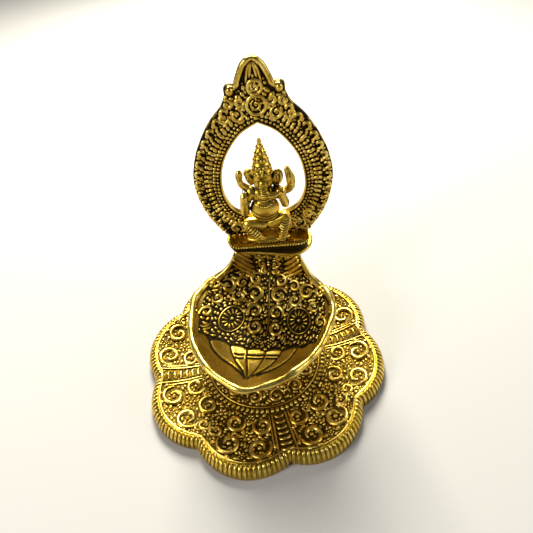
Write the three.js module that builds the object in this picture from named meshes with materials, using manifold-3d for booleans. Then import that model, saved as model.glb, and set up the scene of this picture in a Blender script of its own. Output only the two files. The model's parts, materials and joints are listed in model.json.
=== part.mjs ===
// A devotional oil lamp in gilt cast metal: a scalloped base plate, a leaf-shaped oil cup on a short
// pedestal, and behind the cup a neck that carries a small shrine, an arch around a seated figure.
// One stud clamps the cup to the plate and one screw clamps the shrine to the neck, so both can turn.
// Millimetres, +Z up. The origin is on the table, under the middle of the base plate. The cup's spout
// points along -Y.

import * as THREE from "three";
import { mergeVertices } from "three/addons/utils/BufferGeometryUtils.js";
import Module from "manifold-3d";

const wasm = await Module();
wasm.setup();

// Base plate
const lobeCount = 8;
const lobeTipRadius = 63.2; // from the axis to the tip of a lobe, at the foot of the skirt
const lobeArcRadius = 28; // of the arc that draws one lobe
const plateWall = 1.6;
const plateFloorHeight = 2.2; // top of the plate's floor
const plateCrestHeight = 7; // top of the raised rim
const plateRimWidth = 20; // from the floor's edge to the foot of the skirt
const plateRoundRadius = 33; // inside this the plate is round, outside it takes the lobes' shape
const bossRadius = 12.5;
const bossHeight = 8.4; // top of the boss that the pedestal stands on
const bossFlankWidth = 4.5;

// Pedestal and oil cup
const pedestalHeight = 9.3;
const pedestalRadius = 10.5;
const pedestalWaist = 7.5;
const cupHeight = 13.5; // from the cup's foot to its rim
const cupFootRadius = 10;
const cupRimWidth = 2.8;
const cupFloor = 3; // thickness at the middle, where the stud is let in
const cupSwell = 1.7; // the power that the wall rises with, 1 for a cone
const cupHalfWidth = 36.2;
const cupSpoutReach = 37.8; // from the axis to the spout's tip
const cupBackReach = 37; // from the axis to the back of the rim
// Half of the rim's outline from the spout's tip to the back, as shares of the half width and of the
// reach in front of the axis or behind it.
const cupRimShape = [
  [0, -1], [0.22, -0.93], [0.54, -0.74], [0.84, -0.37], [0.985, 0.1],
  [0.985, 0.4], [0.8, 0.745], [0.42, 0.95], [0, 1],
];

// Neck and seat behind the cup
const neckHeight = 17; // from the cup's rim to the top of the neck
const neckTopHalfWidth = 17;
const neckFlareHalfWidth = 28.5; // where it grows out of the rim
const neckWall = 2.4;
const neckSink = 3; // of the neck's foot into the cup's wall
const neckSetIn = 2; // from the back of the rim to the neck's back face
const neckHollowTop = 0.0145; // how fast the front face comes forward with the square of the width
const neckHollowFoot = 0.0095;
const shelfThickness = 3;
const shelfRadius = 8.5;
const seatLength = 45;
const seatWidth = 23.5;
const seatThickness = 1.8;

// Shrine: ledge, arch and figure
const pivotReach = 41.5; // from the plate's axis back to the shrine's screw
const shrineYaw = 11; // degrees the shrine is turned from the cup's axis
const archSetForward = 1.8; // from the screw to the arch's middle plane
const ledgeBossHeight = 1.6;
const ledgeBossRadius = 7.5;
const ledgeLowerThickness = 1.6;
const ledgeUpperThickness = 2.4;
const ledgeHalfWidth = 20.5;
const ledgeFrontReach = 11.4; // from the arch's middle plane
const ledgeBackReach = 6.4;
const ledgeCornerRadius = 6;
const ledgeStepIn = 1.1;
const archHeight = 87.2;
const archHalfWidth = 32.4;
const archThickness = 3.4;
// Half of the arch's outline and of its opening, foot to top, as shares of its half width and height.
const archOutline = [
  [0.6, 0], [0.74, 0.06], [0.925, 0.195], [1, 0.37], [0.9, 0.535],
  [0.67, 0.69], [0.46, 0.775], [0.385, 0.83],
];
const archShoulder = [[0.385, 0.83], [0.37, 0.865], [0.3, 0.878], [0.235, 0.868]];
const archFinial = [[0.235, 0.868], [0.175, 0.915], [0.12, 0.962], [0.07, 0.99], [0, 1]];
const archOpening = [
  [0, 0.115], [0.3, 0.145], [0.5, 0.2], [0.595, 0.325], [0.52, 0.49], [0.27, 0.63], [0, 0.692],
];
const tenonReach = 12; // from the arch's middle to each tenon
const tenonWidth = 6;
const tenonDepth = 2.4;
const figureStandOff = 0.6; // between the arch's front face and the figure's back
const figureHeight = 55.8;
const figurePegRadius = 2.4;
const figurePegDepth = 2.2;

// Fasteners
const threadRadius = 2;
const boreClearance = 0.35; // around a thread that only passes through
const nutWall = 1.5; // from the thread to a flat
const nutThickness = 3.1;
const washerRadius = 4.5;
const washerThickness = 0.8;
const screwHeadRadius = 3.6;
const screwHeadHeight = 2.2;
const studOverrun = 0.8; // of the stud past its nut
const restGap = 0.3; // between pieces that rest on each other
const fitGap = 0.3; // around pegs and tenons, and past the end of a thread

// Sizes and heights that follow from the values above
const boreRadius = threadRadius + boreClearance;
const pedestalFoot = bossHeight + restGap;
const cupFoot = pedestalFoot + pedestalHeight + restGap;
const cupRim = cupFoot + cupHeight;
const neckTop = cupRim + neckHeight;
const seatFoot = neckTop + restGap;
const seatTop = seatFoot + seatThickness;
const ledgeFoot = seatTop + restGap;
const ledgeMiddle = ledgeFoot + ledgeBossHeight + ledgeLowerThickness;
const ledgeTop = ledgeMiddle + ledgeUpperThickness;
const shrineFoot = ledgeTop + restGap;

const gilt = { color: 0xc9992e, roughness: 0.38, metalness: 1 };
const darkGilt = { color: 0x8d6a1f, roughness: 0.45, metalness: 1 };
const steel = { color: 0x9a9a98, roughness: 0.35, metalness: 1 };

// A closed three.js geometry as a solid.
function solidOf(geometry) {
  const bare = geometry.index ? geometry.toNonIndexed() : geometry.clone();
  bare.deleteAttribute("normal");
  bare.deleteAttribute("uv");
  const merged = mergeVertices(bare, 1e-4);
  return new wasm.Manifold(
    new wasm.Mesh({
      numProp: 3,
      vertProperties: new Float32Array(merged.attributes.position.array),
      triVerts: new Uint32Array(merged.index.array),
    }),
  );
}

function geometryOf(solid) {
  const mesh = solid.getMesh();
  const geometry = new THREE.BufferGeometry();
  geometry.setAttribute("position", new THREE.BufferAttribute(mesh.vertProperties, 3));
  geometry.setIndex(new THREE.BufferAttribute(mesh.triVerts, 1));
  geometry.computeVertexNormals();
  return geometry;
}

const joined = (solids) => solids.reduce((whole, piece) => whole.add(piece));

const smooth = (share) => {
  const t = THREE.MathUtils.clamp(share, 0, 1);
  return t * t * (3 - 2 * t);
};

// Turns a closed profile of [radius, height] points about the Z axis.
function turned(profile, segments) {
  const points = profile.map(([radius, height]) => new THREE.Vector2(radius, height));
  return new THREE.LatheGeometry(points, segments).rotateX(Math.PI / 2);
}

// A ring's profile, closed on itself and traced with its faces out.
const ringProfile = (points) => [...points, points[0]];

function disc(radius, foot, top, segments = 32, x = 0, y = 0) {
  return new THREE.CylinderGeometry(radius, radius, top - foot, segments)
    .rotateX(Math.PI / 2)
    .translate(x, y, (foot + top) / 2);
}

// A flat outline in the XY plane, raised from foot to top.
function raised(shape, foot, top, curveSegments = 10) {
  return new THREE.ExtrudeGeometry(shape, {
    depth: top - foot,
    bevelEnabled: false,
    curveSegments,
  }).translate(0, 0, foot);
}

// Moves every vertex of a geometry by a function of its position.
function reshaped(geometry, move) {
  const place = geometry.attributes.position;
  const point = new THREE.Vector3();
  for (let i = 0; i < place.count; i++) {
    move(point.fromBufferAttribute(place, i));
    place.setXYZ(i, point.x, point.y, point.z);
  }
  return geometry;
}

// Base plate ----------------------------------------------------------------------------------------

// Distance from the axis to the scalloped edge. A lobe's tip points along -Y.
function lobedRadius(angle) {
  const step = (2 * Math.PI) / lobeCount;
  const fromFront = angle + Math.PI / 2;
  const within = fromFront - step * Math.round(fromFront / step);
  const centre = lobeTipRadius - lobeArcRadius;
  return (
    centre * Math.cos(within) +
    Math.sqrt(lobeArcRadius ** 2 - (centre * Math.sin(within)) ** 2)
  );
}

function basePlate() {
  const rimFoot = lobeTipRadius - plateRimWidth;
  const crestRadius = lobeTipRadius - 0.2 * plateRimWidth;
  const shoulderHeight = plateFloorHeight + 0.45 * (plateCrestHeight - plateFloorHeight);
  const skirtShoulder = lobeTipRadius - 0.06 * plateRimWidth;
  const flankFoot = bossRadius + bossFlankWidth;
  const upper = [
    [lobeTipRadius, 0],
    [lobeTipRadius, 0.14 * plateCrestHeight],
    [skirtShoulder, 0.6 * plateCrestHeight],
    [crestRadius, plateCrestHeight],
    [(crestRadius + rimFoot) / 2, shoulderHeight],
    [rimFoot, plateFloorHeight + 0.4],
    [plateRoundRadius, plateFloorHeight],
    [flankFoot, plateFloorHeight],
    [bossRadius, bossHeight],
    [boreRadius, bossHeight],
  ];
  const lower = [
    [boreRadius, bossHeight - plateWall],
    [bossRadius - plateWall, bossHeight - plateWall],
    [flankFoot - plateWall, plateFloorHeight - plateWall],
    [plateRoundRadius, plateFloorHeight - plateWall],
    [rimFoot, plateFloorHeight - plateWall + 0.4],
    [(crestRadius + rimFoot) / 2 + 0.4 * plateWall, shoulderHeight - plateWall],
    [crestRadius, plateCrestHeight - plateWall],
    [skirtShoulder - plateWall, 0.6 * plateCrestHeight - 0.6],
    [lobeTipRadius - plateWall, 0],
  ];
  const geometry = turned(ringProfile([...upper, ...lower]), 6 * lobeCount);
  return reshaped(geometry, (point) => {
    const radius = Math.hypot(point.x, point.y);
    const share = smooth((radius - plateRoundRadius) / (crestRadius - plateRoundRadius));
    const lobe = lobedRadius(Math.atan2(point.y, point.x)) / lobeTipRadius;
    const factor = 1 + (lobe - 1) * share;
    point.x *= factor;
    point.y *= factor;
  });
}

// Pedestal and oil cup ------------------------------------------------------------------------------

function pedestal() {
  const foot = pedestalFoot;
  const top = foot + pedestalHeight;
  const step = pedestalHeight / 5;
  return turned(
    ringProfile([
      [boreRadius, foot],
      [pedestalRadius, foot],
      [pedestalRadius, foot + step],
      [pedestalWaist, foot + 2 * step],
      [pedestalWaist, foot + 3 * step],
      [pedestalRadius - 1, foot + 4 * step],
      [pedestalRadius - 1, top],
      [boreRadius, top],
    ]),
    32,
  );
}

const rimCurve = new THREE.SplineCurve(
  [...cupRimShape, ...cupRimShape.slice(1, -1).reverse().map(([x, y]) => [-x, y]), cupRimShape[0]].map(
    ([x, y]) =>
      new THREE.Vector2(x * cupHalfWidth, y * (y < 0 ? cupSpoutReach : cupBackReach)),
  ),
);
const rimTrace = rimCurve.getPoints(400);

// Distance from the axis to the cup's rim. Angle 0 is along +X.
function rimRadius(angle) {
  let best = rimTrace[0];
  let closest = Infinity;
  for (const point of rimTrace) {
    const turn = Math.atan2(point.y, point.x) - angle;
    const off = Math.abs(Math.atan2(Math.sin(turn), Math.cos(turn)));
    if (off < closest) [closest, best] = [off, point];
  }
  return best.length();
}

function cupShell() {
  const footShare = cupFootRadius / cupHalfWidth;
  const mouthShare = 1 - cupRimWidth / cupHalfWidth;
  const levels = 6;
  const outer = [[0, cupFoot]];
  const inner = [];
  for (let i = 0; i <= levels; i++) {
    const share = i / levels;
    const rise = share ** cupSwell;
    outer.push([footShare + (1 - footShare) * share, cupFoot + cupHeight * rise]);
    inner.unshift([mouthShare * share, cupFoot + cupFloor + (cupHeight - cupFloor) * rise]);
  }
  const meanRadius = (cupHalfWidth + cupSpoutReach + cupBackReach) / 3;
  return reshaped(turned([...outer, ...inner], 40), (point) => {
    const share = Math.hypot(point.x, point.y);
    const angle = Math.atan2(point.y, point.x);
    const leaf = smooth((share - footShare) / (1 - footShare));
    const factor = THREE.MathUtils.lerp(meanRadius, rimRadius(angle), leaf);
    point.x *= factor;
    point.y *= factor;
  });
}

// The neck is a box bent into a curved wall that narrows as it rises from the rim.
function neckWallSolid() {
  const foot = cupRim - neckSink;
  const rise = neckTop - foot;
  const backFace = cupBackReach - neckSetIn;
  const wall = new THREE.BoxGeometry(2, 1, 1, 10, 1, 5).translate(0, 0.5, 0.5);
  return reshaped(wall, (point) => {
    const flare = (1 - point.z) ** 2.4;
    const halfWidth = THREE.MathUtils.lerp(neckTopHalfWidth, neckFlareHalfWidth, flare);
    const hollow = THREE.MathUtils.lerp(neckHollowTop, neckHollowFoot, flare);
    const across = point.x * halfWidth;
    point.set(
      across,
      backFace - neckWall + neckWall * point.y - hollow * across ** 2,
      foot + rise * point.z,
    );
  });
}

function neckShelf() {
  const shape = new THREE.Shape();
  const front = cupBackReach - neckSetIn - 0.5 * neckWall;
  shape.moveTo(-shelfRadius, front - neckHollowTop * shelfRadius ** 2);
  shape.lineTo(0, front);
  shape.lineTo(shelfRadius, front - neckHollowTop * shelfRadius ** 2);
  shape.lineTo(shelfRadius, pivotReach);
  shape.absarc(0, pivotReach, shelfRadius, 0, Math.PI, false);
  return raised(shape, neckTop - shelfThickness, neckTop, 14);
}

function cup() {
  const body = joined([cupShell(), neckWallSolid(), neckShelf()].map(solidOf));
  const studSocket = disc(threadRadius + fitGap, cupFoot - 1, cupFoot + 0.6 * cupFloor, 20);
  const screwHole = disc(boreRadius, neckTop - shelfThickness - 1, neckTop + 1, 20, 0, pivotReach);
  return geometryOf(body.subtract(solidOf(studSocket)).subtract(solidOf(screwHole)));
}

// Seat plate, at the pivot's own origin -------------------------------------------------------------

function seatPlate() {
  const straight = (seatLength - seatWidth) / 2;
  const shape = new THREE.Shape();
  shape.absarc(straight, 0, seatWidth / 2, -Math.PI / 2, Math.PI / 2, false);
  shape.absarc(-straight, 0, seatWidth / 2, Math.PI / 2, 1.5 * Math.PI, false);
  const hole = new THREE.Path();
  hole.absarc(0, 0, boreRadius, 0, 2 * Math.PI, true);
  shape.holes.push(hole);
  return raised(shape, seatFoot, seatTop, 12);
}

// Shrine, in a frame whose Z axis is the shrine's screw ---------------------------------------------

function ledgeShape(stepIn) {
  const half = ledgeHalfWidth - stepIn;
  const front = -archSetForward - ledgeFrontReach + stepIn;
  const back = -archSetForward + ledgeBackReach - stepIn;
  const corner = ledgeCornerRadius - stepIn;
  const shape = new THREE.Shape();
  shape.moveTo(half, back);
  shape.lineTo(-half, back);
  shape.lineTo(-half, front + corner);
  shape.absarc(-half + corner, front + corner, corner, Math.PI, 1.5 * Math.PI, false);
  shape.absarc(half - corner, front + corner, corner, 1.5 * Math.PI, 2 * Math.PI, false);
  return shape;
}

function ledge() {
  const lowerFoot = ledgeFoot + ledgeBossHeight;
  const body = joined(
    [
      disc(ledgeBossRadius, ledgeFoot, lowerFoot + 0.5, 28),
      raised(ledgeShape(ledgeStepIn), lowerFoot, ledgeMiddle + 0.5, 8),
      raised(ledgeShape(0), ledgeMiddle, ledgeTop, 8),
    ].map(solidOf),
  );
  const holes = [
    disc(threadRadius + fitGap / 2, ledgeFoot - 1, ledgeMiddle + 0.4 * ledgeUpperThickness, 20),
    disc(
      figurePegRadius + fitGap, ledgeTop - figurePegDepth - fitGap, ledgeTop + 1, 20,
      0, figureMiddle(),
    ),
    ...[-1, 1].map((side) =>
      new THREE.BoxGeometry(
        tenonWidth + 2 * fitGap, 0.6 * archThickness + 2 * fitGap, tenonDepth + fitGap + 1,
      ).translate(side * tenonReach, -archSetForward, ledgeTop + (1 - tenonDepth - fitGap) / 2),
    ),
  ];
  return geometryOf(holes.reduce((left, hole) => left.subtract(solidOf(hole)), body));
}

// A mirrored outline through splines; each run holds [share of half width, share of height] points.
function mirroredPath(runs, path) {
  const right = runs.map((run) =>
    run.map(([x, z]) => new THREE.Vector2(x * archHalfWidth, shrineFoot + z * archHeight)),
  );
  const left = right.map((run) => run.map((p) => new THREE.Vector2(-p.x, p.y)).reverse()).reverse();
  path.moveTo(right[0][0].x, right[0][0].y);
  for (const run of [...right, ...left]) path.splineThru(run.slice(1));
  return path;
}

function arch() {
  const outline = mirroredPath([archOutline, archShoulder, archFinial], new THREE.Shape());
  outline.holes.push(mirroredPath([archOpening], new THREE.Path()));
  const frame = new THREE.ExtrudeGeometry(outline, {
    depth: archThickness,
    bevelEnabled: false,
    curveSegments: 3,
  })
    .rotateX(Math.PI / 2)
    .translate(0, archThickness / 2 - archSetForward, 0);
  const tenons = [-1, 1].map((side) =>
    new THREE.BoxGeometry(tenonWidth, 0.6 * archThickness, tenonDepth + 1).translate(
      side * tenonReach, -archSetForward, shrineFoot + (1 - tenonDepth) / 2,
    ),
  );
  return geometryOf(joined([frame, ...tenons].map(solidOf)));
}

// Depth of the figure's middle, measured from the screw.
function figureMiddle() {
  return -archSetForward - archThickness / 2 - figureStandOff - 0.0557 * figureHeight;
}

// A rounded lump. Place and size are shares of the figure's height: across, forward and up.
function lump([x, y, z], [width, depth, height], detail = 8) {
  return new THREE.SphereGeometry(figureHeight, detail, Math.round(0.6 * detail))
    .rotateX(Math.PI / 2)
    .scale(width, depth, height)
    .translate(x * figureHeight, figureMiddle() - y * figureHeight, shrineFoot + z * figureHeight);
}

// A rounded limb between two places.
function limb(from, to, radius) {
  const [start, end] = [from, to].map(
    ([x, y, z]) =>
      new THREE.Vector3(
        x * figureHeight, figureMiddle() - y * figureHeight, shrineFoot + z * figureHeight,
      ),
  );
  const along = end.clone().sub(start);
  const turn = new THREE.Quaternion().setFromUnitVectors(
    new THREE.Vector3(0, 1, 0), along.clone().normalize(),
  );
  const middle = start.add(end).multiplyScalar(0.5);
  return new THREE.CapsuleGeometry(radius * figureHeight, along.length(), 1, 6)
    .applyQuaternion(turn)
    .translate(middle.x, middle.y, middle.z);
}

// A run of limbs through several places.
const limbs = (places, radius) =>
  places.slice(1).map((place, i) => limb(places[i], place, radius));

// An elephant-headed figure, seated with one leg laid flat and one knee raised, with four arms.
function figure() {
  const crown = [[0.082, 0.7], [0.068, 0.77], [0.05, 0.84], [0.032, 0.91]];
  const lumps = [
    lump([0, 0, 0.03], [0.21, 0.075, 0.03], 12), // cushion
    lump([0, 0.01, 0.355], [0.13, 0.076, 0.125], 10), // belly
    lump([0, 0, 0.465], [0.12, 0.062, 0.085]), // chest
    lump([0, 0.01, 0.615], [0.086, 0.07, 0.09]), // head
    lump([-0.115, 0, 0.63], [0.045, 0.022, 0.08]), // ears
    lump([0.115, 0, 0.63], [0.045, 0.022, 0.08]),
    ...crown.map(([radius, z]) => lump([0, 0, z], [radius, 0.8 * radius, 0.045])),
    limb([0, 0, 0.92], [0, 0, 0.98], 0.018), // crown's tip
    lump([-0.193, 0, 0.675], [0.03, 0.026, 0.052]), // what the back hands hold up
    lump([0.21, 0, 0.685], [0.026, 0.026, 0.055]),
    lump([0.138, 0.065, 0.55], [0.045, 0.036, 0.034]), // bowl of sweets
  ];
  const body = [
    ...limbs([[-0.05, 0, 0.2], [-0.18, 0.02, 0.2], [-0.055, 0.055, 0.075]], 0.046), // leg laid flat
    ...limbs([[0.05, 0, 0.21], [0.175, 0.02, 0.25], [0.125, 0.055, 0.065]], 0.046), // raised knee
    ...limbs([[-0.1, 0, 0.5], [-0.17, 0, 0.535], [-0.195, 0, 0.64]], 0.032), // back arms
    ...limbs([[0.1, 0, 0.5], [0.205, 0, 0.5], [0.22, 0, 0.64]], 0.032),
    ...limbs([[-0.11, 0.02, 0.47], [-0.18, 0.035, 0.31], [-0.172, 0.055, 0.5]], 0.036), // front arms
    ...limbs([[0.11, 0.02, 0.46], [0.17, 0.03, 0.4], [0.14, 0.062, 0.52]], 0.034),
    ...limbs([[0, 0.05, 0.62], [0, 0.085, 0.57], [0.03, 0.09, 0.535], [0.1, 0.08, 0.535]], 0.03), // trunk
  ];
  // The back and the foot are filed flat.
  const block = 2 * figureHeight;
  const backFace = -archSetForward - archThickness / 2 - figureStandOff;
  const filed = [
    new THREE.BoxGeometry(block, block, block).translate(0, backFace + block / 2, shrineFoot),
    new THREE.BoxGeometry(block, block, block).translate(0, 0, shrineFoot - block / 2),
  ];
  const peg = disc(
    figurePegRadius, shrineFoot - figurePegDepth, shrineFoot + 0.03 * figureHeight, 20,
    0, figureMiddle(),
  );
  const rough = joined([...lumps, ...body].map(solidOf));
  return geometryOf(
    filed.reduce((left, waste) => left.subtract(solidOf(waste)), rough).add(solidOf(peg)),
  );
}

// Fasteners -----------------------------------------------------------------------------------------

const studWasherFoot = bossHeight - plateWall - restGap - washerThickness;
const nutFoot = studWasherFoot - restGap - nutThickness;

function stud() {
  return disc(threadRadius, nutFoot - studOverrun, cupFoot + 0.6 * cupFloor - fitGap, 20);
}

function washer(foot) {
  const top = foot + washerThickness;
  return turned(
    ringProfile([[boreRadius, foot], [washerRadius, foot], [washerRadius, top], [boreRadius, top]]),
    24,
  );
}

function nut() {
  const cornerRadius = (2 * (threadRadius + nutWall)) / Math.sqrt(3);
  const body = new THREE.CylinderGeometry(cornerRadius, cornerRadius, nutThickness, 6)
    .rotateX(Math.PI / 2)
    .translate(0, 0, nutFoot + nutThickness / 2);
  const thread = disc(threadRadius + fitGap / 2, nutFoot - 1, nutFoot + nutThickness + 1, 20);
  return geometryOf(solidOf(body).subtract(solidOf(thread)));
}

function screw() {
  const headTop = neckTop - shelfThickness - washerThickness - 2 * restGap;
  const headFoot = headTop - screwHeadHeight;
  const end = ledgeMiddle + 0.4 * ledgeUpperThickness - fitGap;
  const head = turned(
    [
      [0, headFoot],
      [0.7 * screwHeadRadius, headFoot],
      [screwHeadRadius, headFoot + 0.5 * screwHeadHeight],
      [screwHeadRadius, headTop],
      [threadRadius, headTop],
      [threadRadius, end],
      [0, end],
    ],
    24,
  );
  const slot = new THREE.BoxGeometry(3 * screwHeadRadius, 0.9, 1).translate(0, 0, headFoot);
  return geometryOf(solidOf(head).subtract(solidOf(slot)));
}

// Assembly ------------------------------------------------------------------------------------------

function part(name, geometry, finish) {
  const mesh = new THREE.Mesh(geometry, new THREE.MeshStandardMaterial(finish));
  mesh.name = name;
  return mesh;
}

const lamp = new THREE.Group();
lamp.add(
  part("base_plate", basePlate(), gilt),
  part("bowl_pedestal", pedestal(), darkGilt),
  part("oil_bowl", cup(), gilt),
  part("bowl_stud", stud(), steel),
  part("stud_washer", washer(studWasherFoot), steel),
  part("stud_nut", nut(), steel),
);

const seat = part("seat_plate", seatPlate(), darkGilt);
seat.position.y = pivotReach;
lamp.add(seat);

const shrine = new THREE.Group();
shrine.position.y = pivotReach;
shrine.rotation.z = THREE.MathUtils.degToRad(shrineYaw);
shrine.add(
  part("shrine_ledge", ledge(), gilt),
  part("arch_frame", arch(), gilt),
  part("deity_figure", figure(), gilt),
  part("shrine_screw", screw(), steel),
  part("screw_washer", washer(neckTop - shelfThickness - restGap - washerThickness), steel),
);
lamp.add(shrine);

export default lamp;
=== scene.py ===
import json
import math
import random

import bmesh
import bpy
from mathutils import Matrix, Vector, kdtree, noise
from mathutils.bvhtree import BVHTree


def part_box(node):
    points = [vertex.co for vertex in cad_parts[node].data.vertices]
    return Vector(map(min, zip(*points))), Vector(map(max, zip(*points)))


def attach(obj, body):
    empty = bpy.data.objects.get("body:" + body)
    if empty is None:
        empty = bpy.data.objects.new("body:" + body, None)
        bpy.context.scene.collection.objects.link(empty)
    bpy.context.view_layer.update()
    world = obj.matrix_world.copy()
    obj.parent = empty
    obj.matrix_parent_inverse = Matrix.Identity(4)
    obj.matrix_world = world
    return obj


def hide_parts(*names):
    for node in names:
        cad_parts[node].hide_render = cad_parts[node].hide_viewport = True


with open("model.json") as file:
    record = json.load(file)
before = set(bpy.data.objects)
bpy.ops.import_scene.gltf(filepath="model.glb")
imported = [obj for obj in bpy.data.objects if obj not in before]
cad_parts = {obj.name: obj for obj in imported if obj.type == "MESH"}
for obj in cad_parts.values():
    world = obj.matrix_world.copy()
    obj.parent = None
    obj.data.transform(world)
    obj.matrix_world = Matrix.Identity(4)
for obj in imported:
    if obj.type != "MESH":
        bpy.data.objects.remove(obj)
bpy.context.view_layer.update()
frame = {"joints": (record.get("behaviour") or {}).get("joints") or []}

mm = 0.001
up = Vector((0, 0, 1))


# Lowest and highest corner of a node, in millimetres. Everything is modelled in millimetres and
# brought to metres when a piece is finished.
def boxOf(node):
    low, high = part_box(node)
    return low / mm, high / mm


plateHigh = boxOf("base_plate")[1]
stemLow, stemHigh = boxOf("bowl_pedestal")
bowlLow, bowlHigh = boxOf("oil_bowl")
seatLow, seatHigh = boxOf("seat_plate")
ledgeLow, ledgeHigh = boxOf("shrine_ledge")
archHigh = boxOf("arch_frame")[1]

# ---- small tools


def smoothStep(low, high, value):
    share = min(max((value - low) / (high - low), 0), 1)
    return share * share * (3 - 2 * share)


def mix(a, b, share):
    return a + (b - a) * share


# Catmull-Rom through a few points, with a number of steps between each pair.
def smoothLine(points, steps=8, closed=False):
    points = [Vector(p) for p in points]
    count = len(points)
    line = []
    for i in range(count if closed else count - 1):
        if closed:
            a, b, c, d = (points[(i + k - 1) % count] for k in range(4))
        else:
            a, b, c, d = (points[min(max(i + k - 1, 0), count - 1)] for k in range(4))
        for k in range(steps):
            t = k / steps
            line.append(
                0.5 * (2 * b + (c - a) * t + (2 * a - 5 * b + 4 * c - d) * t * t
                       + (3 * b - a - 3 * c + d) * t ** 3)
            )
    if not closed:
        line.append(points[-1])
    return line


# Points at even steps along a line.
def evenly(line, count, closed=False):
    path = line + [line[0]] if closed else line
    lengths = [0]
    for a, b in zip(path, path[1:]):
        lengths.append(lengths[-1] + (b - a).length)
    wanted = count if closed else count - 1
    out = []
    k = 0
    for i in range(count):
        target = lengths[-1] * i / wanted
        while k < len(path) - 2 and lengths[k + 1] < target:
            k += 1
        span = max(lengths[k + 1] - lengths[k], 1e-9)
        out.append(path[k].lerp(path[k + 1], min((target - lengths[k]) / span, 1)))
    return out


# Tubes along many lines at once. A line is (points, radii, closed).
def addTubes(bm, lines, resolution=1):
    curve = bpy.data.curves.new("tubes", "CURVE")
    curve.dimensions = "3D"
    curve.bevel_depth = 1
    curve.bevel_resolution = resolution
    curve.use_fill_caps = True
    for points, radii, closed in lines:
        spline = curve.splines.new("POLY")
        spline.points.add(len(points) - 1)
        for knot, point, radius in zip(spline.points, points, radii):
            knot.co = (*point, 1)
            knot.radius = radius
        spline.use_cyclic_u = closed
    holder = bpy.data.objects.new("tubes", curve)
    bpy.context.collection.objects.link(holder)
    graph = bpy.context.evaluated_depsgraph_get()
    mesh = bpy.data.meshes.new_from_object(holder.evaluated_get(graph))
    bm.from_mesh(mesh)
    bpy.data.objects.remove(holder)
    bpy.data.curves.remove(curve)
    bpy.data.meshes.remove(mesh)


# Copies of one small rounded bead. A bead is (place, normal, along, size across, size along, height).
def addBeads(bm, beads, segments=8, rings=5):
    seed = bmesh.new()
    bmesh.ops.create_uvsphere(seed, u_segments=segments, v_segments=rings, radius=1)
    mesh = bpy.data.meshes.new("bead")
    seed.to_mesh(mesh)
    seed.free()
    for place, normal, along, across, length, height in beads:
        side = normal.cross(along).normalized()
        front = side.cross(normal).normalized()
        turn = Matrix((side * across, front * length, normal * height)).transposed().to_4x4()
        turn.translation = place
        mesh.transform(turn)
        bm.from_mesh(mesh)
        mesh.transform(turn.inverted())
    bpy.data.meshes.remove(mesh)


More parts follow.
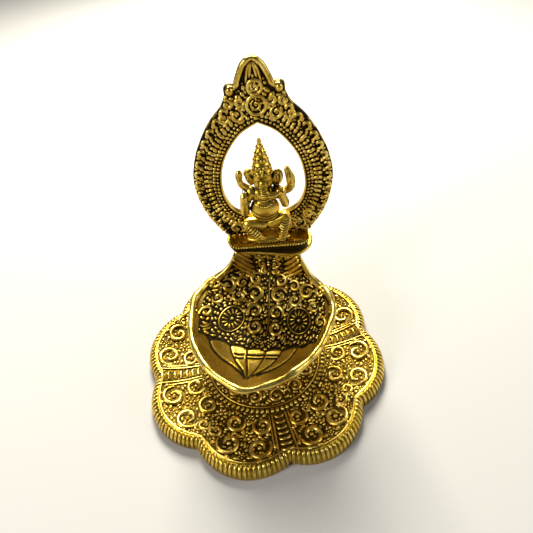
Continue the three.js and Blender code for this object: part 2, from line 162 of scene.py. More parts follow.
# A flat pattern laid on a surface: lines and beads are drawn in the pattern's own u and v, and lay()
# drops them on the surface along one direction.
class Pattern:
    def __init__(self, tree, frameMatrix, reach=60):
        self.tree = tree
        self.frame = frameMatrix
        self.reach = reach
        self.lines = []
        self.dots = []

    def line(self, points, radius, taper=0.35, closed=False, lift=0.25):
        self.lines.append(([Vector((p[0], p[1])) for p in points], radius, taper, closed, lift))

    def dot(self, u, v, across, length=None, heading=0, height=None, lift=0.1):
        self.dots.append((u, v, across, length or across, heading, height or across * 0.8, lift))

    def drop(self, u, v):
        start = self.frame @ Vector((u, v, self.reach))
        way = -(self.frame.to_3x3() @ up)
        place, normal, _, _ = self.tree.ray_cast(start, way)
        if place is None:
            return None, None
        if normal.dot(way) > 0:
            normal = -normal
        return place, normal

    # Leaf strokes beside what is drawn already, then rounded grains in the room that is left, large ones
    # first, over the area inside() allows.
    def fill(self, area, inside, sizes, strokes=(), gap=0.1, seed=1):
        pick = random.Random(seed)
        cells = {}

        def put(u, v, radius):
            cells.setdefault((int(u // 2), int(v // 2)), []).append((u, v, radius))

        def room(u, v):
            near, beside = 2.0, 0
            for i in (-1, 0, 1):
                for j in (-1, 0, 1):
                    for a, b, radius in cells.get((int(u // 2) + i, int(v // 2) + j), ()):
                        away = math.hypot(u - a, v - b) - radius
                        if away < near:
                            near, beside = away, math.atan2(v - b, u - a) + math.pi / 2
            return near - gap, beside

        for points, radius, _, _, _ in self.lines:
            for a, b in zip(points, points[1:]):
                put(a.x, a.y, radius)
                put(0.5 * (a.x + b.x), 0.5 * (a.y + b.y), radius)
        for u, v, across, length, heading, _, _ in self.dots:
            for k in (-1, 0, 1):
                reach = k * max(length - across, 0)
                put(u + reach * math.cos(heading), v + reach * math.sin(heading), across)
        lowU, highU, lowV, highV = area
        for thick, longest in strokes:
            pitch = 1.6 * thick
            for i in range(int((highU - lowU) / pitch)):
                for j in range(int((highV - lowV) / pitch)):
                    u = lowU + (i + pick.random()) * pitch
                    v = lowV + (j + pick.random()) * pitch
                    if not inside(u, v):
                        continue
                    free, beside = room(u, v)
                    if not thick <= free <= 2.1 * thick:
                        continue
                    closer = free - thick
                    u, v = u - closer * math.sin(beside), v + closer * math.cos(beside)
                    heading = beside + math.pi * pick.randint(0, 1)
                    path = [(u, v)]
                    while len(path) < pick.uniform(0.6, 1) * longest / 0.45:
                        u += 0.45 * math.cos(heading)
                        v += 0.45 * math.sin(heading)
                        free, beside = room(u, v)
                        if free < 0.94 * thick or not inside(u, v):
                            break
                        closer = min(free - thick, 0.16)
                        u, v = u - closer * math.sin(beside), v + closer * math.cos(beside)
                        path.append((u, v))
                        turn = (beside - heading + math.pi / 2) % math.pi - math.pi / 2
                        heading += max(-0.5, min(0.5, turn))
                    if len(path) > 3:
                        for point in path:
                            put(*point, thick)
                        self.line(path, thick * 1.1, taper=0.5, lift=0.3)
        for least, most in sizes:
            pitch = 1.0 * least
            for i in range(int((highU - lowU) / pitch)):
                for j in range(int((highV - lowV) / pitch)):
                    u = lowU + (i + pick.random()) * pitch
                    v = lowV + (j + pick.random()) * pitch
                    free, beside = room(u, v)
                    if free >= least and inside(u, v):
                        size = min(free, most)
                        longer = pick.uniform(1.0, 1.9)
                        for k in (-1, 0, 1):
                            reach = k * size * (longer - 1)
                            put(u + reach * math.cos(beside), v + reach * math.sin(beside), size)
                        self.dot(u, v, 1.06 * size, size * longer, beside, 0.75 * size)

    def lay(self, bm):
        tubes = []
        for points, radius, taper, closed, lift in self.lines:
            laid = [self.drop(p[0], p[1]) for p in points]
            laid = [(place, normal) for place, normal in laid if place is not None]
            if len(laid) < 2:
                continue
            last = len(laid) - 1
            radii = []
            for i in range(len(laid)):
                end = min(i, last - i) / max(last, 1)
                radii.append(radius if closed else radius * mix(taper, 1, smoothStep(0, 0.25, end)))
            tubes.append(([place + normal * radius * lift for place, normal in laid], radii, closed))
        addTubes(bm, tubes)
        beads = []
        for u, v, across, length, heading, height, lift in self.dots:
            place, normal = self.drop(u, v)
            if place is None:
                continue
            flat = Vector((math.cos(heading), math.sin(heading), 0))
            along = self.frame.to_3x3() @ flat
            along = (along - normal * along.dot(normal)).normalized()
            beads.append((place + normal * height * lift, normal, along, across, length, height))
        addBeads(bm, [bead for bead in beads if bead[4] < 0.75], 7, 4)
        addBeads(bm, [bead for bead in beads if bead[4] >= 0.75], 10, 6)


# How far each vertex from first on stands above the surface, from 0 in the recesses to 1 on top.
def markHigh(bm, first, tree, full=0.55):
    high = bm.verts.layers.float.get("high") or bm.verts.layers.float.new("high")
    bm.verts.ensure_lookup_table()
    for vert in bm.verts[first:]:
        place, normal, _, distance = tree.find_nearest(vert.co)
        outside = distance if (vert.co - place).dot(normal) > 0 else 0
        vert[high] = smoothStep(0.02, full, outside)


def setHigh(bm, value, verts=None):
    high = bm.verts.layers.float.get("high") or bm.verts.layers.float.new("high")
    for vert in verts or bm.verts:
        vert[high] = value(vert.co) if callable(value) else value
    return high


def addPiece(name, bm, body, nodes, material):
    bmesh.ops.scale(bm, vec=(mm, mm, mm), verts=bm.verts)
    mesh = bpy.data.meshes.new(name)
    bm.to_mesh(mesh)
    bm.free()
    for face in mesh.polygons:
        face.use_smooth = True
    mesh.materials.append(material)
    piece = bpy.data.objects.new(name, mesh)
    bpy.context.collection.objects.link(piece)
    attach(piece, body)
    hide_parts(*nodes)
    print("made", name, len(mesh.polygons), "faces")
    return piece


# A profile of (radius, height) turned about Z. A closed profile makes a ring.
def turnedSheet(bm, profile, steps, closed, centre=(0, 0)):
    verts = [bm.verts.new((radius + centre[0], centre[1], height)) for radius, height in profile]
    edges = [bm.edges.new(pair) for pair in zip(verts, verts[1:])]
    if closed:
        edges.append(bm.edges.new((verts[-1], verts[0])))
    bmesh.ops.spin(
        bm, geom=verts + edges, cent=(*centre, 0), axis=up, angle=2 * math.pi, steps=steps,
        use_merge=True,
    )
    bmesh.ops.remove_doubles(bm, verts=bm.verts, dist=1e-4)
    bmesh.ops.recalc_face_normals(bm, faces=bm.faces)


# ---- finishes

goldTones = {
    "recess": (0.022, 0.014, 0.003, 1),
    "gold": (0.56, 0.345, 0.024, 1),
    # pale rubbed plating, which also serves as the painted highlight
    "rubbedAndHighlight": (1.0, 0.77, 0.21, 1),
    "steel": (0.42, 0.40, 0.36, 1),
}


def newGroup(name, inputs, outputs):
    group = bpy.data.node_groups.new(name, "ShaderNodeTree")
    for label, kind, value in inputs:
        socket = group.interface.new_socket(label, in_out="INPUT", socket_type=kind)
        socket.default_value = value
    for label, kind in outputs:
        group.interface.new_socket(label, in_out="OUTPUT", socket_type=kind)
    return group, group.nodes.new("NodeGroupInput"), group.nodes.new("NodeGroupOutput")


def mathNode(tree, operation, a, b=None, c=None, clamp=False):
    node = tree.nodes.new("ShaderNodeMath")
    node.operation = operation
    node.use_clamp = clamp
    for socket, value in zip(node.inputs, (a, b, c)):
        if value is None:
            continue
        if isinstance(value, (int, float)):
            socket.default_value = value
        else:
            tree.links.new(value, socket)
    return node.outputs[0]


def rangeNode(tree, value, low, high, toLow=0.0, toHigh=1.0):
    node = tree.nodes.new("ShaderNodeMapRange")
    node.interpolation_type = "SMOOTHSTEP"
    tree.links.new(value, node.inputs["Value"])
    for label, number in zip(("From Min", "From Max", "To Min", "To Max"), (low, high, toLow, toHigh)):
        if isinstance(number, (int, float)):
            node.inputs[label].default_value = number
        else:
            tree.links.new(number, node.inputs[label])
    return node.outputs["Result"]


def noiseNode(tree, scale, detail=3, roughness=0.55):
    node = tree.nodes.new("ShaderNodeTexNoise")
    place = tree.nodes.new("ShaderNodeTexCoord")
    tree.links.new(place.outputs["Object"], node.inputs["Vector"])
    if isinstance(scale, (int, float)):
        node.inputs["Scale"].default_value = scale
    else:
        tree.links.new(scale, node.inputs["Scale"])
    node.inputs["Detail"].default_value = detail
    node.inputs["Roughness"].default_value = roughness
    return node.outputs["Fac"]


# Black sulphide that stays in the recesses: 0 where it covers, 1 where the plating is bare.
def makePatinaGroup():
    group, start, end = newGroup(
        "patina",
        [("High", "NodeSocketFloat", 1.0), ("Depth", "NodeSocketFloat", 0.5),
         ("Scale", "NodeSocketFloat", 900.0)],
        [("Bare", "NodeSocketFloat")],
    )
    blotch = noiseNode(group, start.outputs["Scale"], 4, 0.65)
    shifted = mathNode(group, "MULTIPLY_ADD", mathNode(group, "SUBTRACT", blotch, 0.5), 0.55,
                       start.outputs["High"])
    low = mathNode(group, "SUBTRACT", start.outputs["Depth"], 0.22)
    top = mathNode(group, "ADD", start.outputs["Depth"], 0.22)
    group.links.new(rangeNode(group, shifted, low, top), end.inputs["Bare"])
    return group


# Where handling has rubbed the plating to a pale shine, together with a painted highlight on the high tops of
# the relief.
def makeRubbedAndHighlightGroup():
    group, start, end = newGroup(
        "rubbedAndHighlight",
        [("High", "NodeSocketFloat", 1.0), ("Amount", "NodeSocketFloat", 0.5)],
        [("RubAndHighlight", "NodeSocketFloat")],
    )
    patches = rangeNode(group, noiseNode(group, 130.0, 2), 0.35, 0.65)
    specks = rangeNode(group, noiseNode(group, 1400.0, 2), 0.40, 0.62)
    tops = rangeNode(group, start.outputs["High"], 0.55, 1.0)
    both = mathNode(group, "MULTIPLY_ADD", patches, 0.5, mathNode(group, "MULTIPLY", specks, 0.5))
    shine = mathNode(group, "MULTIPLY", mathNode(group, "MULTIPLY", both, tops),
                     start.outputs["Amount"], clamp=True)
    group.links.new(shine, end.inputs["RubAndHighlight"])
    return group


# Sand-cast skin: fine pits over a slow unevenness, as a height.
def makeCastGroup():
    group, start, end = newGroup(
        "castSkin",
        [("Fine", "NodeSocketFloat", 2600.0), ("Slow", "NodeSocketFloat", 350.0)],
        [("Height", "NodeSocketFloat")],
    )
    pits = noiseNode(group, start.outputs["Fine"], 3, 0.6)
    swell = noiseNode(group, start.outputs["Slow"], 2, 0.5)
    group.links.new(mathNode(group, "MULTIPLY_ADD", swell, 1.6, pits), end.inputs["Height"])
    return group


shared = {"patina": makePatinaGroup(), "rubbedAndHighlight": makeRubbedAndHighlightGroup(), "castSkin": makeCastGroup()}


def placeGroup(tree, name, **values):
    node = tree.nodes.new("ShaderNodeGroup")
    node.node_tree = shared[name]
    for label, value in values.items():
        if isinstance(value, (int, float)):
            node.inputs[label].default_value = value
        else:
            tree.links.new(value, node.inputs[label])
    return node.outputs[0]


def colourMix(tree, share, a, b):
    node = tree.nodes.new("ShaderNodeMix")
    node.data_type = "RGBA"
    tree.links.new(share, node.inputs["Factor"])
    for socket, value in ((node.inputs["A"], a), (node.inputs["B"], b)):
        if isinstance(value, tuple):
            socket.default_value = value
        else:
            tree.links.new(value, socket)
    return node.outputs["Result"]


# Gold plate over a casting, blackened and rubbed back, with a painted highlight on the rubbed tops.
def makeGold(name, depth, shine, rough, skin):
    material = bpy.data.materials.new(name)
    material.use_nodes = True
    tree = material.node_tree
    surface = tree.nodes["Principled BSDF"]
    attribute = tree.nodes.new("ShaderNodeAttribute")
    attribute.attribute_name = "high"
    high = attribute.outputs["Fac"]
    bare = placeGroup(tree, "patina", High=high, Depth=depth)
    rubbedAndHighlit = placeGroup(tree, "rubbedAndHighlight", High=high, Amount=shine)
    # rubbed plating and painted highlight on the tops, over the plain gold
    plated = colourMix(tree, rubbedAndHighlit, goldTones["gold"], goldTones["rubbedAndHighlight"])
    tree.links.new(colourMix(tree, bare, goldTones["recess"], plated), surface.inputs["Base Color"])
    tree.links.new(rangeNode(tree, bare, 0, 1, 0.62, rough), surface.inputs["Roughness"])
    tree.links.new(rangeNode(tree, bare, 0, 0.6, 0.9, 1.0), surface.inputs["Metallic"])
    bump = tree.nodes.new("ShaderNodeBump")
    bump.inputs["Strength"].default_value = skin
    bump.inputs["Distance"].default_value = 0.00012
    tree.links.new(placeGroup(tree, "castSkin"), bump.inputs["Height"])
    tree.links.new(bump.outputs["Normal"], surface.inputs["Normal"])
    return material


def makeSteel(name):
    material = bpy.data.materials.new(name)
    material.use_nodes = True
    tree = material.node_tree
    surface = tree.nodes["Principled BSDF"]
    surface.inputs["Metallic"].default_value = 1
    stain = rangeNode(tree, noiseNode(tree, 500.0, 4), 0.4, 0.7)
    tree.links.new(colourMix(tree, stain, goldTones["steel"], (0.16, 0.13, 0.09, 1)),
                   surface.inputs["Base Color"])
    tree.links.new(rangeNode(tree, stain, 0, 1, 0.3, 0.6), surface.inputs["Roughness"])
    bump = tree.nodes.new("ShaderNodeBump")
    bump.inputs["Strength"].default_value = 0.3
    bump.inputs["Distance"].default_value = 0.00008
    tree.links.new(placeGroup(tree, "castSkin"), bump.inputs["Height"])
    tree.links.new(bump.outputs["Normal"], surface.inputs["Normal"])
    return material


reliefGold = makeGold("reliefGold", 0.43, 1.0, 0.30, 0.5)
plainGold = makeGold("plainGold", 0.30, 0.55, 0.34, 0.7)
zincSteel = makeSteel("zincSteel")

# ---- base plate

plateSet = {
    "lobes": 8,
    "lobeArc": 28.0,
    "floor": 2.2,
    "crest": 7.0,
    "rim": 20.0,
    "crestIn": 4.0,
    "lineIn": 4.7,
    "wall": 1.6,
    "roundInside": 33.0,
    "boss": 12.5,
    "flank": 4.5,
    "bore": 2.35,
    "turns": 400,
    "gadroonPitch": 2.15,
    "scrolls": [(50.0, 7.3, 5.9, 1, 1.2), (38.4, 6.6, 4.9, -1, 1.1), (44.6, 14.9, 3.1, 1, 0.85)],
    "flowers": [(44.4, 0, 2.9, 7), (35.6, 0, 2.1, 6), (54.6, 0, 1.7, 5), (51.8, 15.2, 1.9, 6)],
    "bandHalf": 3.9,
    "bandFrom": 33.8,
    "bandTo": 55.2,
}


def lobeFactor(angle):
    step = 2 * math.pi / plateSet["lobes"]
    fromFront = angle + math.pi / 2
    within = fromFront - step * round(fromFront / step)
    centre = plateHigh.x - plateSet["lobeArc"]
    across = centre * math.sin(within)
    return (centre * math.cos(within) + math.sqrt(plateSet["lobeArc"] ** 2 - across ** 2)) / plateHigh.x


def plateProfile():
    s = plateSet
    tip = plateHigh.x
    rimFoot = tip - s["rim"]
    crestAt = tip - s["crestIn"]
    boss = plateHigh.z
    slope = [(33, 0), (38, 0.02), (rimFoot, 0.1), (47, 0.27), (51.2, 0.46), (55, 0.70), (57.5, 0.88)]
    skirt = [(0, 1), (1.2, 0.95), (2.1, 0.81), (2.8, 0.66), (3.3, 0.48), (3.7, 0.30), (3.95, 0.09), (4, 0)]
    top = [(crestAt + out, s["crest"] * share) for out, share in reversed(skirt)]
    top += [(radius, mix(s["floor"], s["crest"], share)) for radius, share in reversed(slope)]
    top += [
        (27, s["floor"]), (22, s["floor"]), (s["boss"] + s["flank"], s["floor"]),
        (s["boss"] + s["flank"] - 1.2, s["floor"] + 0.8), (s["boss"] + 0.5, boss - 0.5),
        (s["boss"] - 0.5, boss), (s["bore"], boss),
    ]
    wall = s["wall"]
    under = [
        (s["bore"], boss - wall), (s["boss"] - wall, boss - wall),
        (s["boss"] + s["flank"] - wall, s["floor"] - wall), (33, s["floor"] - wall),
        (rimFoot, s["floor"] - wall + 0.4), (51.8, mix(s["floor"], s["crest"], 0.45) - wall),
        (crestAt, s["crest"] - wall), (tip - 2.8, 0.52 * s["crest"]), (tip - wall, 0),
    ]
    return top + under


def lobedPlace(point):
    radius = math.hypot(point.x, point.y)
    share = smoothStep(plateSet["roundInside"], plateHigh.x - plateSet["crestIn"], radius)
    factor = 1 + (lobeFactor(math.atan2(point.y, point.x)) - 1) * share
    return Vector((point.x * factor, point.y * factor, point.z))


# A leafy scroll: the curl, a palmette that fills it, and a frill of lobes along its back.
def drawScroll(pattern, u, v, size, heading, hand, thick=0.9, frill=4):
    turns = 1.12
    curl = []
    for k in range(21):
        t = k / 20
        angle = heading + hand * 2 * math.pi * turns * t
        radius = size * (1 - 0.66 * t ** 1.1)
        curl.append((u + radius * math.cos(angle), v + radius * math.sin(angle)))
    pattern.line(curl, thick, taper=0.45)
    last = heading + hand * 2 * math.pi * turns
    pattern.dot(u, v, 0.16 * size + 0.2, height=0.2 * size + 0.2)
    if size > 2.6:
        for k in range(4):
            angle = last - hand * (1.1 + 0.78 * k)
            reach = size * (0.46 + 0.03 * k)
            pattern.dot(u + reach * math.cos(angle), v + reach * math.sin(angle), 0.13 * size, 0.23 * size,
                        angle - 0.35 * hand)
    for k in range(frill):
        angle = heading + hand * (0.5 + 0.8 * k)
        reach = size * (0.98 - 0.05 * k) + 1.25 * thick
        pattern.dot(u + reach * math.cos(angle), v + reach * math.sin(angle), 0.8 * thick, 1.25 * thick,
                    angle + 0.9 * hand, 0.7 * thick)


def drawFlower(pattern, u, v, size, petals=7):
    pattern.dot(u, v, 0.27 * size, height=0.34 * size)
    for k in range(petals):
        angle = 2 * math.pi * k / petals + 0.3 * u
        pattern.dot(u + 0.68 * size * math.cos(angle), v + 0.68 * size * math.sin(angle),
                    1.75 * size / petals, 0.33 * size, angle, 0.26 * size)


def turnedBy(angle, points):
    c, s = math.cos(angle), math.sin(angle)
    return [(c * p[0] - s * p[1], s * p[0] + c * p[1]) for p in points]


# One lobe's ornament, nearly the same either side of the lobe's own axis. bandHand is the side that
# meets a band of crescents and keeps clear of it.
def drawLobe(pattern, axis, pick, bandHand):
    at = lambda r, t: turnedBy(axis, [(r, t)])[0]
    for hand in (-1, 1):
        for radius, across, size, curl, thick in plateSet["scrolls"]:
            if across > 14 and hand == bandHand:
                continue
            size *= pick.uniform(0.94, 1.04)
            u, v = at(radius + pick.uniform(-0.4, 0.4), hand * across)
            heading = axis + (math.pi / 2 * hand if curl > 0 else -math.pi / 2 * hand) + 0.6 * curl * hand
            drawScroll(pattern, u, v, size, heading + pick.uniform(-0.3, 0.3), -hand * curl, thick)
    for radius, across, size, petals in plateSet["flowers"]:
        for hand in ((-1, 1) if across else (1,)):
            if across > 14 and hand == bandHand:
                continue
            u, v = at(radius, hand * across)
            drawFlower(pattern, u, v, size, petals)


# A band of crescents between double lines, where the plate is divided.
def drawBand(pattern, axis):
    s = plateSet
    for side in (-1, 1):
        for offset, thick in ((0, 0.6), (1.4, 0.5)):
            inner = (s["bandFrom"], side * (s["bandHalf"] - 0.6 + offset))
            outer = (s["bandTo"] - 1.6 * offset, side * (s["bandHalf"] + 0.5 + offset))
            line = [(mix(inner[0], outer[0], k / 14), mix(inner[1], outer[1], k / 14)) for k in range(15)]
            pattern.line(turnedBy(axis, line), thick, taper=0.8)
    count = 7
    for k in range(count):
        radius = mix(s["bandFrom"] + 0.4, s["bandTo"] - 3.0, k / (count - 1))
        half = mix(s["bandHalf"] - 1.7, s["bandHalf"] - 0.8, k / (count - 1))
        arc = [(radius + 1.9 * math.cos(a * 1.25) - 0.4, half * math.sin(a * 1.15) / 0.92)
               for a in (-1 + j / 5 for j in range(11))]
        pattern.line(turnedBy(axis, arc), 0.8, taper=0.4)


def rimLine(inward, count=1440, soft=0.0):
    line = []
    for k in range(count):
        angle = 2 * math.pi * k / count
        reach = sum(lobeFactor(angle + soft * j) for j in (-2, -1, 0, 1, 2)) / 5
        radius = plateHigh.x * reach - inward
        line.append(Vector((radius * math.cos(angle), radius * math.sin(angle), 0)))
    return line


def makePlate():
    s = plateSet
    bm = bmesh.new()
    turnedSheet(bm, plateProfile(), s["turns"], closed=True)
    for vert in bm.verts:
        vert.co = lobedPlace(vert.co)
    tree = BVHTree.FromBMesh(bm)
    tip = plateHigh.x
    def ground(co):
        radius = math.hypot(co.x, co.y)
        edge = tip * lobeFactor(math.atan2(co.y, co.x))
        if radius < s["boss"] + s["flank"] or co.z < 0.3:
            return 0.8
        return 0.55 if radius > edge - s["crestIn"] else 0.33

    setHigh(bm, ground)
    first = len(bm.verts)

    pattern = Pattern(tree, Matrix.Identity(4))
    pick = random.Random(8)
    # gadroons turned down over the rim
    spine = rimLine(0.5 * s["crestIn"])
    length = sum((a - b).length for a, b in zip(spine, spine[1:] + spine[:1]))
    count = round(length / s["gadroonPitch"])
    spots = evenly(spine, count, closed=True)
    for i, spot in enumerate(spots):
        along = (spots[(i + 1) % count] - spots[i - 1]).normalized()
        outward = Vector((along.y, -along.x, 0))
        outward = (outward + 0.5 * spot.normalized()).normalized()
        start = spot + along * pick.uniform(-0.2, 0.2)
        run = [start + outward * k for k in (-2.0, -1.3, -0.5, 0.3, 0.9, 1.4, 1.75)]
        pattern.line(run, pick.uniform(0.82, 0.98), taper=0.6, lift=-0.05)
    # a plain line inside them, and the bead ring where the round middle starts
    pattern.line(rimLine(s["lineIn"] + 0.2, 480, 0.03), 0.62, closed=True, lift=0.1)
    ringAt = 31.6
    for k in range(80):
        angle = 2 * math.pi * k / 80
        pattern.dot(ringAt * math.cos(angle), ringAt * math.sin(angle), 0.85, 1.25, angle)
    for radius in (29.6, 19.0):
        pattern.line([(radius * math.cos(a), radius * math.sin(a))
                      for a in (2 * math.pi * k / 160 for k in range(160))], 0.4, closed=True)

    step, notches = 2 * math.pi / s["lobes"], []
    for k in range(s["lobes"]):
        axis = k * step - math.pi / 2
        drawLobe(pattern, axis, pick, 1 if k % 2 == 0 else -1)
        notch = axis + step / 2
        if k % 2 == 0:
            drawBand(pattern, notch)
            notches.append(notch)
        else:
            for radius, size, petals in ((38.2, 3.4, 8), (44.6, 2.6, 7), (50.2, 2.2, 6)):
                u, v = turnedBy(notch, [(radius, 0)])[0]
                drawFlower(pattern, u, v, size, petals)
    for k in range(14):
        angle = 2 * math.pi * (k + 0.5) / 14
        hand = 1 if k % 2 else -1
        drawScroll(pattern, 24.4 * math.cos(angle), 24.4 * math.sin(angle), 4.2, angle + 1.4 * hand, hand,
                   0.85, 3)

    def inside(u, v):
        radius = math.hypot(u, v)
        edge = tip * lobeFactor(math.atan2(v, u)) - s["lineIn"] - 0.9
        if not (33.2 < radius < edge or 20 < radius < 29):
            return False
        return not any(x > 33 and abs(y) < s["bandHalf"] + 1.9
                       for x, y in (turnedBy(-notch, [(u, v)])[0] for notch in notches))

    pattern.fill((-tip, tip, -tip, tip), inside, [(0.85, 1.1), (0.5, 0.7)],
                 [(0.66, 6.0), (0.62, 5.0), (0.55, 4.2), (0.5, 3.2)], gap=0.16)
    pattern.lay(bm)
    markHigh(bm, first, tree)
    return addPiece("basePlate", bm, "plate", ["base_plate"], reliefGold)


makePlate()

# ---- oil bowl with its neck

bowlSet = {
    "wall": 2.0,
    "rimHeight": 31.8,
    "footRadius": 10.0,
    "backReach": 37.0,
    "rimShape": [(0, -1), (0.22, -0.93), (0.54, -0.74), (0.84, -0.37), (0.985, 0.1), (0.985, 0.4),
                 (0.8, 0.745), (0.42, 0.95), (0, 1)],
    "turns": 320,
    "levels": 52,
    "footLevels": 16,
    "swell": 1.7,
    "neckSpread": 50,
    "neckFull": 0.52,
    "neckTopHalf": 17.6,
    "neckHollow": 0.0125,
    "neckRows": 14,
    "rollRadius": 1.75,
    "lean": 45,
    "rosettes": [(-16.6, 21.6), (18.6, 23.6)],
    "rosetteRadius": 7.2,
    "grooveDepth": 0.38,
    "grooveHalf": 0.24,
    "axis": 2.4,
}


def rimTable():
    s = bowlSet
    half = [Vector((x * bowlHigh.x, y * (-bowlLow.y if y < 0 else s["backReach"]), 0))
            for x, y in s["rimShape"]]
    other = [Vector((-p.x, p.y, 0)) for p in reversed(half[1:-1])]
    line = smoothLine(half + other, 30, closed=True)
    return sorted((math.atan2(p.y, p.x), p.length) for p in line)


rimRadii = rimTable()


def rimRadius(angle):
    angle = math.atan2(math.sin(angle), math.cos(angle))
    low, high = 0, len(rimRadii) - 1
    if angle <= rimRadii[0][0] or angle >= rimRadii[-1][0]:
        return 0.5 * (rimRadii[0][1] + rimRadii[-1][1])
    while high - low > 1:
        middle = (low + high) // 2
        if rimRadii[middle][0] < angle:
            low = middle
        else:
            high = middle
    (a, ra), (b, rb) = rimRadii[low], rimRadii[high]
    return mix(ra, rb, (angle - a) / (b - a))


# Where a point on the neck's row lies, from the rim below it. side runs from -1 to 1 round the back.
def neckPlace(rim, side, share):
    s = bowlSet
    rise = smoothStep(1, s["neckFull"], abs(side))
    sign = math.copysign(1, rim.x)
    topX = mix(abs(rim.x), s["neckTopHalf"] * min(abs(side) / s["neckFull"], 1), rise)
    topY = mix(rim.y, s["backReach"] - s["neckHollow"] * topX ** 2, rise)
    bend = smoothStep(0, 1, share) * 0.6 + share * 0.4
    height = rim.z + (bowlHigh.z - 0.6 - rim.z) * rise * share
    return Vector((sign * mix(abs(rim.x), topX, bend), mix(rim.y, topY, bend), height))


def bowlSheet(bm):
    s = bowlSet
    foot = s["footRadius"] / bowlHigh.x
    depth = s["rimHeight"] - bowlLow.z
    profile = [(foot * k / s["footLevels"], bowlLow.z) for k in range(s["footLevels"])]
    for k in range(s["levels"] + 1):
        share = k / s["levels"]
        profile.append((foot + (1 - foot) * share, bowlLow.z + depth * share ** s["swell"]))
    verts = [bm.verts.new((share, 0, height)) for share, height in profile]
    edges = [bm.edges.new(pair) for pair in zip(verts, verts[1:])]
    bmesh.ops.spin(bm, geom=verts + edges, cent=(0, 0, 0), axis=up, angle=2 * math.pi,
                   steps=s["turns"], use_merge=True)
    bmesh.ops.remove_doubles(bm, verts=bm.verts, dist=1e-5)
    mean = (bowlHigh.x - bowlLow.y + s["backReach"]) / 3
    for vert in bm.verts:
        share = math.hypot(vert.co.x, vert.co.y)
        angle = math.atan2(vert.co.y, vert.co.x)
        factor = mix(mean, rimRadius(angle), smoothStep(0, 1, (share - foot) / (1 - foot)))
        vert.co.x *= factor
        vert.co.y *= factor
    rim = [e for e in bm.edges if e.is_boundary]
    spread = math.radians(s["neckSpread"])
    sides = {}
    for edge in rim:
        for vert in edge.verts:
            turn = math.atan2(vert.co.y, vert.co.x) - math.pi / 2
            turn = math.atan2(math.sin(turn), math.cos(turn))
            sides[vert] = turn / spread
    row = [e for e in rim if all(abs(sides[v]) < 1 for v in e.verts)]
    start = {v: v.co.copy() for v in sides}
    for k in range(s["neckRows"]):
        grown = bmesh.ops.extrude_edge_only(bm, edges=row)["geom"]
        fresh = [g for g in grown if isinstance(g, bmesh.types.BMVert)]
        old = {tuple(round(c, 4) for c in v.co): v for e in row for v in e.verts}
        row = [g for g in grown if isinstance(g, bmesh.types.BMEdge) and all(v in fresh for v in g.verts)]
        for vert in fresh:
            below = old[tuple(round(c, 4) for c in vert.co)]
            sides[vert], start[vert] = sides[below], start[below]
            vert.co = neckPlace(start[vert], sides[vert], (k + 1) / s["neckRows"])
    bmesh.ops.remove_doubles(bm, verts=bm.verts, dist=0.02)
    bmesh.ops.recalc_face_normals(bm, faces=bm.faces)


# The free edge of the sheet, as one loop of places and outward normals.
def freeEdge(bm):
    links = {}
    for edge in bm.edges:
        if edge.is_boundary:
            a, b = edge.verts
            links.setdefault(a, []).append(b)
            links.setdefault(b, []).append(a)
    start = min(links, key=lambda v: v.co.y)
    loop, before, here = [], None, start
    while True:
        loop.append((here.co.copy(), here.normal.copy()))
        ahead = next((v for v in links[here] if v is not before and v is not start), None)
        if ahead is None or len(loop) > len(links):
            break
        before, here = here, ahead
    return loop


def leaned(point):
    lean = math.radians(bowlSet["lean"])
    return point.x, point.y * math.sin(lean) + point.z * math.cos(lean)


# Lines cut into the smooth front of the bowl, where the petals of a lotus lie side by side.
def petalGrooves():
    lines = [
        [(-23.5, 12.6), (-20.5, 9), (-15, 5.2), (-9, 2.6), (-2.5, 0)],
        [(-13.8, 9.8), (-12, 7), (-8.6, 3.9), (-4, 1.2), (-1.6, -0.6)],
        [(-5.2, 8.4), (-4.6, 6), (-3.1, 3), (-0.8, -0.4)],
        [(3.9, 13.5), (4.2, 9.5), (3.9, 5.8), (2.3, 2.4), (0, -0.6)],
        [(12.4, 9.8), (10.6, 6.4), (7, 3), (1.4, 0)],
        [(19.6, 11.6), (16.2, 7), (10.5, 3.2), (3.5, 0.5)],
    ]
    cross = [
        [(-4.3, 6.3), (0, 6.4), (3.8, 6.9)], [(-4.5, 5.2), (0, 5.2), (3.7, 5.7)],
        [(5.0, 6.9), (8, 7.2), (11.0, 7.7)], [(4.9, 5.8), (7.6, 6.0), (10.0, 6.4)],
        [(-10.6, 6.7), (-8.4, 6.3), (-6.0, 6.4)], [(-9.9, 5.4), (-8, 5.0), (-5.8, 5.1)],
    ]
    grooves = [smoothLine([(*p, 0) for p in line], 20) for line in lines]
    grooves += [smoothLine([(*p, 0) for p in line], 14) for line in cross]
    return grooves


def petalTop(u):
    return 8.2 + 0.0085 * (u + 0.6) ** 2 + 0.8 * abs(math.sin(0.345 * (u + 5)))


